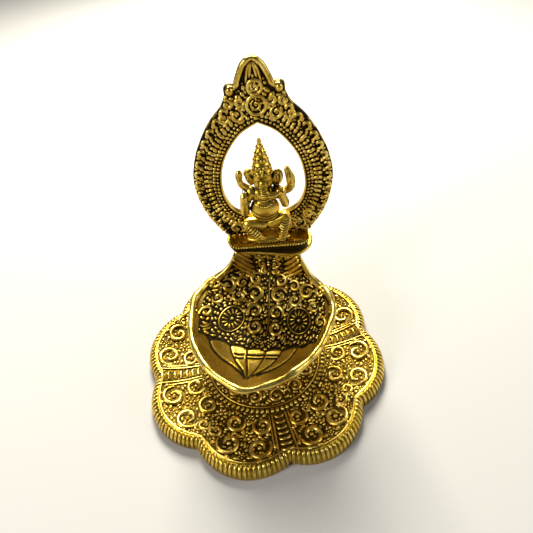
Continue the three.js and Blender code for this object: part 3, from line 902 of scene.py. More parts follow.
# Scrolls and flowers on the back of the bowl, then the two leaves that make the neck.
def drawBowlPattern(pattern):
    s = bowlSet
    mid = s["axis"]
    for u, v in s["rosettes"]:
        size = s["rosetteRadius"]
        pattern.dot(u, v, 0.95, height=0.8)
        circle = [turnedBy(2 * math.pi * k / 36, [(0.84 * size, 0)])[0] for k in range(36)]
        pattern.line([(u + p[0], v + p[1]) for p in circle], 0.34, closed=True)
        for share, count, across, length in ((0.5, 13, 0.52, 1.75), (1.06, 20, 0.78, 1.0)):
            for k in range(count):
                angle = 2 * math.pi * (k + share) / count
                pattern.dot(u + share * size * math.cos(angle), v + share * size * math.sin(angle),
                            across, length, angle + (math.pi / 2 if share > 1 else 0))
    curls = [
        (6.4, 35.0, 4.4, 0.4, 1, 1.25), (5.8, 26.0, 3.8, -0.6, 1, 1.2), (6.8, 43.0, 3.4, 2.4, -1, 1.05),
        (15.2, 33.2, 3.3, 0.8, -1, 1.0), (21.4, 38.2, 4.0, 0.7, 1, 1.1), (28.6, 38.8, 2.8, 1.0, 1, 0.95),
        (14.4, 40.6, 3.1, 2.6, -1, 1.0), (25.6, 31.4, 2.6, 0.2, -1, 0.9),
        (5.4, 18.4, 3.4, 0.4, -1, 1.05), (29.6, 24.8, 2.5, -0.4, 1, 0.9),
    ]
    for hand in (-1, 1):
        for u, v, size, heading, way, thick in curls:
            heading = math.pi / 2 + (heading - math.pi / 2) * hand
            shift = mid * smoothStep(30, 10, v) if v < 30 else 0
            drawScroll(pattern, hand * u + shift, v, size, heading, hand * way, thick, 3)
        drawFlower(pattern, hand * 10.6 + 1.2, 29.6, 2.2, 6)
        drawFlower(pattern, hand * 3.4 + mid, 12.6, 1.9, 6)
        # slanting ridges of the neck's leaf, and the curled edge beside the middle crease
        for k in range(5):
            foot = 43.8 + 2.75 * k
            start = 7.4 + 0.4 * k
            pattern.line(smoothLine([(hand * start, foot, 0), (hand * (start + 5.4), foot + 2.9, 0),
                                     (hand * 18.6, foot + 6.4, 0)], 8), 1.08, taper=0.4, lift=0.35)
        for k, (u, v, size) in enumerate(((2.9, 47.6, 1.9), (3.7, 51.6, 2.2), (5.4, 55.6, 2.0))):
            drawScroll(pattern, hand * u, v, size, math.pi / 2 + 0.7 * hand, -hand, 0.75, 3)
        for k in range(5):
            pattern.dot(hand * (20.2 + 1.5 * k), 47.0 - 1.1 * k, 0.9, 1.5, 1.2 * hand)
        for u, v, size in ((12.6, 57.2, 1.5), (15.6, 57.6, 1.7), (9.4, 56.9, 1.4), (16.8, 54.6, 1.3)):
            pattern.dot(hand * u, v, size, 1.2 * size, 0.5 * hand, size)
    crease = smoothLine([(mid, 14.5, 0), (mid - 0.3, 22, 0), (0.8, 31, 0), (0, 40, 0), (0, 46, 0)], 10)
    pattern.line([(p.x + 0.5, p.y) for p in crease], 0.32, taper=0.6)

    def inside(u, v):
        if v < petalTop(u) + 0.7:
            return False
        if any(math.hypot(u - a, v - b) < 0.84 * s["rosetteRadius"] for a, b in s["rosettes"]):
            return False
        spot, _ = pattern.drop(u, v)
        if spot is None:
            return False
        if spot.z > s["rimHeight"] + 0.5:
            return abs(u) < 22 and v < 59
        reach = math.hypot(spot.x, spot.y) / rimRadius(math.atan2(spot.y, spot.x))
        return reach < 0.87 + 0.08 * smoothStep(10, 30, spot.y)

    pattern.fill((-34, 34, 7, 60), inside, [(0.7, 1.0), (0.45, 0.6), (0.33, 0.42)],
                 [(0.62, 6.0), (0.58, 5.0), (0.54, 4.5), (0.5, 3.6), (0.46, 3.0)], gap=0.15)


def makeBowl():
    s = bowlSet
    bm = bmesh.new()
    bowlSheet(bm)
    edge = freeEdge(bm)
    bmesh.ops.solidify(bm, geom=list(bm.faces), thickness=s["wall"])
    bmesh.ops.recalc_face_normals(bm, faces=bm.faces)
    lean = math.radians(s["lean"])
    frameMatrix = Matrix((Vector((1, 0, 0)), Vector((0, math.sin(lean), math.cos(lean))),
                          Vector((0, -math.cos(lean), math.sin(lean))))).transposed().to_4x4()
    tree = BVHTree.FromBMesh(bm)
    view = frameMatrix.to_3x3() @ up

    # the petals' grooves, on the inside only
    grooves = petalGrooves()
    marks = [p for line in grooves for p in line]
    near = kdtree.KDTree(len(marks))
    for i, mark in enumerate(marks):
        near.insert(mark, i)
    near.balance()
    high = setHigh(bm, 0.75)
    moves = []
    bm.normal_update()
    for vert in bm.verts:
        inward = vert.normal.dot(view)
        u, v = leaned(vert.co)
        if inward < 0.1:
            continue
        seen, _, _, away = tree.ray_cast(vert.co + view * 0.3, view)
        if seen is not None:
            continue
        if v > petalTop(u) and (vert.co.z > s["rimHeight"] + 0.2 or math.hypot(vert.co.x, vert.co.y)
                                < (0.88 + 0.09 * smoothStep(10, 30, vert.co.y))
                                * rimRadius(math.atan2(vert.co.y, vert.co.x))):
            vert[high] = 0.2
            continue
        _, _, distance = near.find((u, v, 0))
        cut = 1 - smoothStep(0.1, s["grooveHalf"] * 2.2, distance)
        top = 1 - smoothStep(0, 0.7, abs(v - petalTop(u)))
        cut = max(cut, 0.8 * top if abs(u) < 25 else 0)
        vert[high] = 0.85 * (1 - cut)
        moves.append((vert, vert.normal * -s["grooveDepth"] * cut))
    for vert, move in moves:
        vert.co += move
    first = len(bm.verts)

    pattern = Pattern(tree, frameMatrix, reach=90)
    drawBowlPattern(pattern)
    pattern.lay(bm)
    markHigh(bm, first, tree, 0.5)

    # the rolled rim runs on up the neck's edges
    second = len(bm.verts)
    points, radii = [], []
    random.seed(4)
    for place, normal in edge[::2]:
        top = smoothStep(bowlHigh.z - 4, bowlHigh.z - 1, place.z)
        lift = smoothStep(s["rimHeight"] + 1, s["rimHeight"] + 8, place.z)
        wobble = noise.noise(place * 0.1) + 0.45 * noise.noise(place * 0.24)
        radii.append(s["rollRadius"] * (1.02 + wobble * 0.42) * (1 - 0.35 * lift) * (1 - 0.45 * top))
        sway = Vector((0, 0, 0.5 * noise.noise(place * 0.11) - top))
        points.append(place - normal * 0.5 * s["wall"] + sway)
    addTubes(bm, [(points, radii, True)], 3)
    # a blob where the mould was fed
    blob = Vector((0.985 * bowlHigh.x - 0.8, 12.5, s["rimHeight"] + 0.6))
    blobUp, blobAlong = Vector((-0.35, 0, 0.94)).normalized(), Vector((0.1, 1, 0)).normalized()
    addBeads(bm, [(blob, blobUp, blobAlong, 2.0, 3.3, 1.1)], 24, 12)
    # the rim counts as a raised top all round, so it takes the pale rubbed colour, which is partly a painted
    # highlight
    setHigh(bm, lambda co: 0.97 + 0.1 * noise.noise(co * 0.4), list(bm.verts)[second:])
    return addPiece("oilBowl", bm, "bowl", ["oil_bowl"], reliefGold)


makeBowl()

# ---- stem between plate and bowl

stemSet = {"foot": 10.5, "waist": 6.4, "head": 9.6, "bore": 2.35, "turns": 96}


def makeStem():
    s = stemSet
    foot, tall = stemLow.z, stemHigh.z - stemLow.z
    shape = [(s["bore"], 0), (s["foot"] - 0.4, 0), (s["foot"], 0.05), (s["foot"], 0.14),
             (s["foot"] - 0.8, 0.19), (s["foot"] - 1.6, 0.22), (s["waist"] + 0.9, 0.32),
             (s["waist"], 0.42), (s["waist"] + 0.3, 0.47), (s["waist"] + 1.5, 0.5), (s["waist"] + 1.8, 0.55),
             (s["waist"] + 1.5, 0.6), (s["waist"] + 0.3, 0.63), (s["waist"], 0.68),
             (s["waist"] + 0.9, 0.80), (s["head"] - 0.8, 0.88), (s["head"], 0.91), (s["head"], 0.97),
             (s["head"] - 0.4, 1), (s["bore"], 1)]
    bm = bmesh.new()
    turnedSheet(bm, [(radius, foot + tall * share) for radius, share in shape], s["turns"], closed=True)
    setHigh(bm, lambda co: 0.75 if math.hypot(co.x, co.y) > s["waist"] + 1.0 else 0.3)
    beads = []
    for k in range(26):
        angle = 2 * math.pi * k / 26
        out = Vector((math.cos(angle), math.sin(angle), 0))
        beads.append((out * (s["foot"] - 0.55) + up * (foot + 0.19 * tall), (out + up).normalized(), up,
                      0.85, 0.85, 0.7))
    first = len(bm.verts)
    addBeads(bm, beads)
    setHigh(bm, 0.95, list(bm.verts)[first:])
    return addPiece("bowlStem", bm, "bowl", ["bowl_pedestal"], plainGold)


# ---- stud, nut, screw and washers

fastenerSet = {
    "thread": 2.0,
    "pitch": 0.7,
    "bore": 2.35,
    "washer": 4.5,
    "screwWasher": 4.25,  # a little under the other washer, to clear the neck
    "flats": 7.0,
    "head": 3.6,
    "headTall": 2.2,
    "slotWide": 0.9,
    "slotDeep": 0.5,
}


def threadProfile(radius, low, high, pitch):
    points = [(0, low), (radius - 0.5, low)]
    count = int((high - low - 0.6) / pitch)
    for k in range(count):
        at = low + 0.3 + k * pitch
        points += [(radius - 0.28, at), (radius, at + 0.35 * pitch), (radius, at + 0.5 * pitch),
                   (radius - 0.28, at + 0.85 * pitch)]
    return points + [(radius - 0.5, high), (0, high)]


def makeStud():
    low, high = boxOf("bowl_stud")
    bm = bmesh.new()
    turnedSheet(bm, threadProfile(fastenerSet["thread"], low.z, high.z, fastenerSet["pitch"]), 40, False)
    return addPiece("bowlStud", bm, "bowl", ["bowl_stud"], zincSteel)


def makeWasher(name, node, body, centre, radius=fastenerSet["washer"]):
    low, high = boxOf(node)
    s = fastenerSet
    soft = 0.15
    profile = [(s["bore"], low.z), (radius - soft, low.z), (radius, low.z + soft),
               (radius, high.z - soft), (radius - soft, high.z), (s["bore"], high.z)]
    bm = bmesh.new()
    turnedSheet(bm, profile, 64, True)
    bmesh.ops.translate(bm, vec=(*centre, 0), verts=bm.verts)
    return addPiece(name, bm, body, [node], zincSteel)


# Six flats with the corners turned off, round a plain bore.
def makeNut():
    low, high = boxOf("stud_nut")
    s = fastenerSet
    bm = bmesh.new()
    hole = s["thread"] + 0.15
    bmesh.ops.create_circle(bm, segments=48, radius=hole, matrix=Matrix.Translation((0, 0, low.z)))
    outer = bmesh.ops.create_circle(bm, segments=48, radius=1, matrix=Matrix.Translation((0, 0, low.z)))
    for vert in outer["verts"]:
        angle = math.atan2(vert.co.y, vert.co.x)
        within = (angle + math.pi / 6) % (math.pi / 3) - math.pi / 6
        reach = 0.5 * s["flats"] / math.cos(within)
        vert.co.x, vert.co.y = reach * math.sin(angle), reach * math.cos(angle)
    bmesh.ops.bridge_loops(bm, edges=bm.edges)
    faces = list(bm.faces)
    grown = bmesh.ops.extrude_face_region(bm, geom=faces)["geom"]
    bmesh.ops.translate(bm, vec=(0, 0, high.z - low.z),
                        verts=[g for g in grown if isinstance(g, bmesh.types.BMVert)])
    bmesh.ops.recalc_face_normals(bm, faces=bm.faces)
    rims = [e for e in bm.edges if all(math.hypot(v.co.x, v.co.y) > hole + 0.5 for v in e.verts)
            and abs(e.verts[0].co.z - e.verts[1].co.z) < 0.01]
    bmesh.ops.bevel(bm, geom=rims, offset=0.3, offset_type="OFFSET", affect="EDGES", segments=2,
                    profile=0.5, material=-1)
    return addPiece("studNut", bm, "bowl", ["stud_nut"], zincSteel)


def makeScrew():
    low, high = boxOf("shrine_screw")
    s = fastenerSet
    headTop = low.z + s["headTall"]
    profile = [(0, low.z), (0.55 * s["head"], low.z), (0.85 * s["head"], low.z + 0.4),
               (s["head"], low.z + 1.1), (s["head"], headTop), (s["thread"] - 0.1, headTop)]
    thread = threadProfile(s["thread"], headTop, high.z, s["pitch"])
    bm = bmesh.new()
    turnedSheet(bm, profile + thread[1:], 48, False)
    slotVerts = [v for v in bm.verts if v.co.z < low.z + 0.6 and abs(v.co.y) < s["slotWide"]]
    for vert in slotVerts:
        vert.co.z += s["slotDeep"]
    bmesh.ops.transform(bm, matrix=shrineFrame, verts=bm.verts)
    return addPiece("shrineScrew", bm, "shrine", ["shrine_screw"], zincSteel)


# ---- shrine: seat, ledge, arch

shrineSet = {
    "yaw": 11.0,
    "archForward": 1.8,
    "archThickness": 3.4,
    "archHalf": 32.4,
    "ledgeHalf": 20.5,
    "ledgeFront": 11.4,
    "ledgeBack": 6.4,
    "ledgeCorner": 6.0,
    "ledgeUpper": 2.4,
    "ledgeBoss": 7.5,
    "restGap": 0.3,
}

pivot = next(Vector(j["pos_m"]) / mm for j in frame["joints"] if j["name"] == "shrine_swivel")
shrineFrame = Matrix.Translation((pivot.x, pivot.y, 0)) @ Matrix.Rotation(
    math.radians(shrineSet["yaw"]), 4, "Z")
archFoot = ledgeHigh.z + shrineSet["restGap"]
archTall = archHigh.z - archFoot
# u runs across the shrine, v up, and the face looks forward
faceFrame = Matrix(((1, 0, 0, 0), (0, 0, -1, 0), (0, 1, 0, 0), (0, 0, 0, 1)))


# A flat outline raised into a slab with softened edges.
def raiseSlab(bm, outline, low, high, soft):
    verts = [bm.verts.new((p[0], p[1], low)) for p in outline]
    face = bm.faces.new(verts)
    grown = bmesh.ops.extrude_face_region(bm, geom=[face])["geom"]
    top = [g for g in grown if isinstance(g, bmesh.types.BMVert)]
    bmesh.ops.translate(bm, vec=(0, 0, high - low), verts=top)
    own = set(verts) | set(top)
    faces = [f for f in bm.faces if all(v in own for v in f.verts)]
    bmesh.ops.recalc_face_normals(bm, faces=faces)
    rims = [e for e in bm.edges if all(v in own for v in e.verts)
            and abs(e.verts[0].co.z - e.verts[1].co.z) < 1e-4]
    bmesh.ops.bevel(bm, geom=rims, offset=soft, offset_type="OFFSET", affect="EDGES", segments=3,
                    profile=0.5, material=-1)


def arcPoints(centre, radius, start, stop, count):
    return [(centre[0] + radius * math.cos(mix(start, stop, k / count)),
             centre[1] + radius * math.sin(mix(start, stop, k / count))) for k in range(count + 1)]


# A plain oval slab. The screw's bore is left out, because ledge and neck cover it.
def makeSeat():
    half = (seatHigh.x - seatLow.x) / 2
    radius = (seatHigh.y - seatLow.y) / 2
    straight = half - radius
    outline = arcPoints((straight, 0), radius, -math.pi / 2, math.pi / 2, 28)
    outline += arcPoints((-straight, 0), radius, math.pi / 2, 1.5 * math.pi, 28)
    bm = bmesh.new()
    raiseSlab(bm, outline, seatLow.z, seatHigh.z, 0.7)
    bmesh.ops.translate(bm, vec=(pivot.x, pivot.y, 0), verts=bm.verts)
    setHigh(bm, lambda co: 0.8 if math.hypot(co.x, 0.9 * (co.y - pivot.y)) > radius - 1.5 else 0.35)
    return addPiece("seatPlate", bm, "bowl", ["seat_plate"], plainGold)


def ledgeOutline(stepIn):
    s = shrineSet
    half = s["ledgeHalf"] - stepIn
    front = -s["archForward"] - s["ledgeFront"] + stepIn
    back = -s["archForward"] + s["ledgeBack"] - stepIn
    corner = s["ledgeCorner"] - stepIn
    outline = [(half, back - 1.2), (half - 1.2, back), (-half + 1.2, back), (-half, back - 1.2)]
    outline += arcPoints((-half + corner, front + corner), corner, math.pi, 1.5 * math.pi, 10)
    outline += arcPoints((half - corner, front + corner), corner, 1.5 * math.pi, 2 * math.pi, 10)
    return outline


def makeLedge():
    s = shrineSet
    middle = ledgeHigh.z - s["ledgeUpper"]
    bm = bmesh.new()
    raiseSlab(bm, arcPoints((0, 0), s["ledgeBoss"], 0, 2 * math.pi * 35 / 36, 35), ledgeLow.z, middle, 0.3)
    raiseSlab(bm, ledgeOutline(1.1), ledgeLow.z + 1.6, middle + 0.5, 0.5)
    raiseSlab(bm, ledgeOutline(0.45), middle, ledgeHigh.z, 0.6)
    tree = BVHTree.FromBMesh(bm)
    setHigh(bm, lambda co: 0.62 if co.z > ledgeHigh.z - 0.2 else 0.22)
    first = len(bm.verts)
    edge = [Vector((*p, 0)) for p in ledgeOutline(0.75)[3:]]
    beads = []
    for spot in evenly(edge, 42):
        beads.append((Vector((spot.x, spot.y, ledgeHigh.z - 0.45)), up, Vector((1, 0, 0)), 0.72, 0.72, 0.62))
    for spot in evenly([Vector((p.x * 0.99, p.y * 0.99, 0)) for p in edge], 30):
        out = Vector((spot.x * 0.3, spot.y, 0)).normalized()
        beads.append((Vector((spot.x, spot.y, middle + 0.75)), out, up, 0.85, 0.62, 0.45))
    addBeads(bm, beads)
    # soft lumps left by the casting, and a flat bright scar where a sprue was broken off
    pick = random.Random(8)
    lumps = []
    for k in range(26):
        spot = Vector((mix(-17, 17, (k + pick.random()) / 26), pick.uniform(-11.0, -8.6), ledgeHigh.z - 0.1))
        lumps.append((spot, up, Vector((1, pick.uniform(-0.5, 0.5), 0)), pick.uniform(0.7, 1.1),
                      pick.uniform(1.0, 1.7), pick.uniform(0.3, 0.45)))
    addBeads(bm, lumps, 12, 6)
    addBeads(bm, [(Vector((14.6, -9.6, ledgeHigh.z)), up, Vector((1, 0.2, 0)), 1.5, 2.9, 0.5)], 20, 8)
    markHigh(bm, first, tree, 0.4)
    bmesh.ops.transform(bm, matrix=shrineFrame, verts=bm.verts)
    return addPiece("shrineLedge", bm, "shrine", ["shrine_ledge"], reliefGold)


archShape = {
    "side": [(0.6, 0), (0.74, 0.06), (0.915, 0.195), (0.985, 0.37), (0.885, 0.535), (0.655, 0.69),
             (0.45, 0.775), (0.375, 0.83)],
    "shoulder": [(0.375, 0.83), (0.37, 0.865), (0.3, 0.878), (0.235, 0.866)],
    "finial": [(0.235, 0.866), (0.175, 0.913), (0.12, 0.957), (0.07, 0.983), (0, 0.992)],
    "opening": [(0, 0.115), (0.3, 0.145), (0.5, 0.2), (0.595, 0.325), (0.52, 0.49), (0.27, 0.63),
                (0, 0.692)],
    "eye": 0.37,
    "curlPitch": 4.9,
    "petalPitch": 2.3,
    "beadPitch": 1.75,
}


def archPoint(share):
    return Vector((share[0] * shrineSet["archHalf"], archFoot + share[1] * archTall, 0))


def archRun(key, steps=10):
    return smoothLine([archPoint(p) for p in archShape[key]], steps)


def mirrored(run):
    return [Vector((-p.x, p.y, 0)) for p in reversed(run)]


# Distance from the arch's eye to an edge, along an angle.
class EdgeTable:
    def __init__(self, run, eye):
        self.rows = sorted((math.atan2(p.y - eye.y, p.x - eye.x), (p - eye).length) for p in run)

    def at(self, angle):
        rows = self.rows
        if angle <= rows[0][0]:
            return rows[0][1]
        for (a, ra), (b, rb) in zip(rows, rows[1:]):
            if angle <= b:
                return mix(ra, rb, (angle - a) / max(b - a, 1e-9))
        return rows[-1][1]


def drawArchPattern(pattern):
    s = archShape
    eye = archPoint((0, s["eye"]))
    outer = EdgeTable(archRun("side"), eye)
    inner = EdgeTable(archRun("opening"), eye)
    lowest, highest = math.radians(-57), math.radians(69)

    def row(share, pitch, inset=0.0, start=lowest, stop=highest):
        line = []
        for k in range(121):
            angle = mix(start, stop, k / 120)
            radius = mix(inner.at(angle), outer.at(angle), share) + inset
            line.append(Vector((eye.x + radius * math.cos(angle), eye.y + radius * math.sin(angle), 0)))
        length = sum((a - b).length for a, b in zip(line, line[1:]))
        return evenly(line, max(2, round(length / pitch)))

    pick = random.Random(3)
    opening = archRun("opening")
    for hand in (-1, 1):
        flip = lambda p: (hand * p[0], p[1])
        turn = lambda angle: angle if hand > 0 else math.pi - angle
        # two rows of grains beside the opening, then tongues, then hooked curls round the outside
        for share, size, start in ((0.13, 0.72, -62), (0.255, 0.78, -58)):
            for spot in row(share, s["beadPitch"], start=math.radians(start), stop=math.radians(86)):
                pattern.dot(*flip(spot), size * pick.uniform(0.8, 1.15))
        for spot in row(0.43, s["petalPitch"]):
            angle = math.atan2(spot.y - eye.y, spot.x - eye.x)
            out = (spot - eye).normalized()
            size = pick.uniform(0.85, 1.15)
            heading = turn(angle + pick.uniform(-0.3, 0.3))
            pattern.dot(*flip(spot), 0.92 * size, 1.6 * size, heading, 1.0)
            pattern.dot(*flip(spot + out * 1.6), 0.9 * size, 0.85 * size, heading, 1.1)
        for k, spot in enumerate(row(0.79, s["curlPitch"])):
            angle = math.atan2(spot.y - eye.y, spot.x - eye.x)
            out = (spot - eye).normalized()
            side = Vector((-out.y, out.x, 0))
            size = 2.05 * pick.uniform(0.92, 1.08)
            curl = [spot + (out * math.cos(a) + side * math.sin(a)) * size * (1.08 - 0.1 * j)
                    for j, a in enumerate((-2.5, -1.8, -1.1, -0.4, 0.3, 1.0, 1.7, 2.4))]
            pattern.line([flip(p) for p in smoothLine(curl, 2)], 0.8, taper=0.5, lift=0.6)
            notch = spot + side * 0.5 * s["curlPitch"]
            pattern.dot(*flip(notch + out * 1.2), 0.62, 1.0, turn(angle), 0.8)
            pattern.dot(*flip(notch - out * 1.1), 0.7, 1.2, turn(angle + 0.5), 0.9)
        # under the opening, behind the figure
        for u, v, size in ((15.6, 5.2, 3.3), (9.0, 4.6, 3.0), (19.6, 11.6, 2.6), (3.0, 4.4, 2.6)):
            drawScroll(pattern, hand * u, archFoot + v, size, 1.0 * hand, -hand, 0.85)
        # crest
        for u, share, size, turned in ((8.2, 0.735, 2.7, 0.4), (11.2, 0.792, 2.0, -0.6),
                                       (6.4, 0.80, 2.0, 1.4),
                                       (13.8, 0.725, 2.2, 1.0)):
            drawScroll(pattern, hand * u, archFoot + share * archTall, size, turned * hand + math.pi / 2,
                       hand, 0.85, 3)
        knob = archPoint((0.30, 0.855))
        pattern.dot(hand * knob.x, knob.y, 2.0, 1.7, 0, 1.9)
        pattern.dot(hand * (knob.x + 2.6), knob.y - 1.5, 1.5, 1.3, 0, 1.7)
        pattern.dot(hand * (knob.x - 3.0), knob.y - 3.0, 1.2, 1.7, 1.0 * hand, 1.4)
        edge = [archPoint(p) for p in ((0.30, 0.868), (0.225, 0.868), (0.165, 0.913), (0.113, 0.953),
                                       (0.062, 0.979), (0, 0.987))]
        pattern.line([flip(p) for p in smoothLine(edge, 8)], 1.25, taper=0.7, lift=0.4)
        for share, foot in ((0.62, 0.885), (0.28, 0.905)):
            fold = [archPoint(p) for p in ((0.15 * share, foot), (0.10 * share, 0.94), (0.03 * share, 0.972))]
            pattern.line([flip(p) for p in smoothLine(fold, 8)], 0.55, taper=0.4)
    lip = opening + mirrored(opening)[1:-1]
    lip = [eye + (p - eye) * 1.012 for p in lip]
    pattern.line(lip, 0.5, closed=True, lift=0)
    # the two medallions, one above the other
    for share, size in ((0.778, 3.9), (0.862, 2.8)):
        v = archFoot + share * archTall
        pattern.line([(0.2 + size * math.cos(a), v + size * math.sin(a))
                      for a in (2 * math.pi * k / 40 for k in range(40))], 0.75, closed=True)
        drawScroll(pattern, 0.2, v, 0.58 * size, 2.0, 1, 0.6, 0)
        for k in range(5):
            angle = 2 * math.pi * (k + 0.2) / 5
            pattern.dot(0.2 + 0.62 * size * math.cos(angle), v + 0.62 * size * math.sin(angle),
                        0.5, 0.8, angle)


def makeArch():
    s = shrineSet
    bm = bmesh.new()
    right = archRun("side")[:-1] + archRun("shoulder", 8)[:-1] + archRun("finial", 8)
    outer = right + mirrored(right)[1:]
    opening = archRun("opening")
    inner = opening + mirrored(opening)[1:-1]
    half = 0.5 * s["archThickness"]
    loops = []
    for loop in (outer, inner):
        verts = [bm.verts.new((p.x, -s["archForward"] + half, p.y)) for p in loop]
        loops += [bm.edges.new(pair) for pair in zip(verts, verts[1:] + verts[:1])]
    filled = bmesh.ops.triangle_fill(bm, edges=loops, use_beauty=True)["geom"]
    faces = [g for g in filled if isinstance(g, bmesh.types.BMFace)]
    grown = bmesh.ops.extrude_face_region(bm, geom=faces)["geom"]
    bmesh.ops.translate(bm, vec=(0, -s["archThickness"], 0),
                        verts=[g for g in grown if isinstance(g, bmesh.types.BMVert)])
    bmesh.ops.recalc_face_normals(bm, faces=bm.faces)
    rims = [e for e in bm.edges if len(e.link_faces) == 2 and abs(e.calc_face_angle(0)) > 1.0
            and abs(e.verts[0].co.y - e.verts[1].co.y) < 1e-4]
    bmesh.ops.bevel(bm, geom=rims, offset=0.8, offset_type="OFFSET", affect="EDGES", segments=3,
                    profile=0.5, material=-1)
    tree = BVHTree.FromBMesh(bm)
    front = -s["archForward"] - half
    setHigh(bm, lambda co: 0.16 if co.y < front + 0.3 else 0.62)
    first = len(bm.verts)

    pattern = Pattern(tree, faceFrame)
    drawArchPattern(pattern)

    def inside(u, v):
        return pattern.drop(u, v)[0] is not None and pattern.drop(1.03 * u, v + 0.7)[0] is not None

    pattern.fill((-32, 32, archFoot, archHigh.z), inside, [(0.7, 0.95), (0.4, 0.65)])
    pattern.lay(bm)
    markHigh(bm, first, tree, 0.5)
    # tenons let into the ledge
    for side in (-1, 1):
        grown = bmesh.ops.create_cube(bm, size=1, matrix=Matrix.Translation(
            (side * 12, -s["archForward"], archFoot - 0.7)) @ Matrix.Diagonal((6, 2.04, 3.4, 1)))
        setHigh(bm, 0.3, grown["verts"])
    bmesh.ops.transform(bm, matrix=shrineFrame, verts=bm.verts)
    return addPiece("archFrame", bm, "shrine", ["arch_frame"], reliefGold)


# ---- the seated figure

figureSet = {
    "forward": 7.21,
    "voxel": 0.3,
    "behind": 0.6,  # from the arch's face to the figure's flat back
    "crown": [(0, 38.2), (4.2, 38.3), (4.7, 39.4), (4.6, 40.9), (3.8, 41.6), (4.1, 43.1), (3.7, 44.4),
              (3.0, 45.0), (3.3, 46.4), (2.9, 47.6), (2.2, 48.1), (2.4, 49.4), (2.0, 50.5), (1.4, 51.0),
              (1.5, 52.3), (0.9, 53.2), (1.15, 54.3), (0.8, 55.3), (0, 55.7)],
    # lumps: (across, forward, up), (wide, deep, tall), lean in degrees
    "lumps": [
        ((0, 0.2, 1.4), (11.2, 4.0, 1.8), 0),
        ((-0.2, 0.8, 19.8), (7.0, 4.4, 6.6), 0),
        ((0, 0, 27.0), (6.5, 3.4, 4.6), 0),
        ((-6.0, 0, 29.2), (2.5, 2.4, 2.5), 0),
        ((6.0, 0, 29.0), (2.5, 2.4, 2.5), 0),
        ((0, 0.6, 34.6), (4.5, 3.9, 4.9), 0),
        ((-1.8, 2.0, 37.2), (2.3, 2.3, 2.2), 0),
        ((1.8, 2.0, 37.2), (2.3, 2.3, 2.2), 0),
        ((-5.7, -0.2, 36.8), (2.3, 1.0, 4.6), -12),
        ((6.3, -0.2, 35.4), (2.9, 1.0, 4.6), 12),
        ((-9.2, 3.4, 28.4), (1.8, 1.1, 2.6), 4),
        ((7.6, 3.8, 30.4), (2.4, 2.0, 1.7), 0),
        ((11.2, 0.5, 38.6), (1.5, 1.3, 2.9), -8),
        ((-10.4, 0.5, 38.0), (1.7, 1.3, 3.1), 6),
        ((-3.8, 3.6, 3.2), (2.8, 1.5, 1.5), 0),
        ((6.7, 3.6, 2.4), (1.9, 1.8, 1.5), 0),
    ],
    # limbs: places run (across, forward, up), with the radius at each
    "limbs": [
        [((-2.6, 0.3, 10.0), 3.2), ((-7.2, 0.8, 11.2), 3.0), ((-9.5, 1.2, 10.9), 2.6),
         ((-7.6, 2.3, 8.6), 2.4),
         ((-5.2, 3.0, 5.9), 2.1), ((-3.4, 3.4, 3.6), 1.6)],
        [((2.6, 0.3, 10.4), 3.2), ((7.0, 0.9, 12.9), 2.9), ((9.3, 1.2, 14.0), 2.6), ((8.7, 2.3, 10.4), 2.4),
         ((7.6, 3.0, 6.4), 2.0), ((6.7, 3.4, 3.2), 1.6)],
        [((-5.6, -0.4, 29.2), 2.0), ((-7.6, -0.5, 30.6), 1.8), ((-9.3, -0.2, 32.4), 1.7),
         ((-10.3, 0.2, 34.6), 1.5), ((-10.4, 0.5, 39.4), 1.3)],
        [((5.6, -0.4, 29.0), 2.0), ((8.8, -0.5, 27.8), 1.8), ((11.6, -0.3, 29.0), 1.8),
         ((12.4, 0.2, 32.0), 2.1), ((12.2, 0.5, 35.6), 2.1), ((11.1, 0.5, 40.2), 0.9)],
        [((-6.0, 0.8, 28.6), 2.1), ((-8.8, 1.6, 24.0), 2.0), ((-9.7, 2.2, 18.8), 2.1),
         ((-9.6, 3.0, 22.6), 2.0), ((-9.2, 3.4, 28.4), 1.8)],
        [((6.0, 0.8, 28.0), 2.1), ((9.0, 1.6, 24.6), 1.9), ((9.3, 2.6, 22.6), 1.9),
         ((8.6, 3.4, 25.4), 1.8), ((7.7, 3.8, 28.8), 1.6)],
        [((0, 3.2, 35.0), 2.4), ((0, 4.2, 32.4), 2.1), ((0.5, 4.8, 30.6), 1.9), ((2.4, 5.0, 29.6), 1.7),
         ((4.6, 4.8, 29.5), 1.4), ((6.4, 4.5, 30.4), 1.1)],
    ],
}


def figurePlace(point):
    return Vector((point[0], -figureSet["forward"] - point[1], archFoot + point[2]))


# How much of the sky a point sees within a short reach: 0 deep in a crease, 1 in the open.
def openness(tree, place, normal, reach):
    clear = 0
    for way in skyRays:
        ray = way if way.dot(normal) > 0 else -way
        hit = tree.ray_cast(place + normal * 0.08, ray, reach)[0]
        clear += hit is None
    return clear / len(skyRays)


skyRays = [Vector((math.cos(2.4 * k) * math.sqrt(1 - z * z), math.sin(2.4 * k) * math.sqrt(1 - z * z), z))
           for k, z in ((k, 1 - (2 * k + 1) / 14) for k in range(14))]


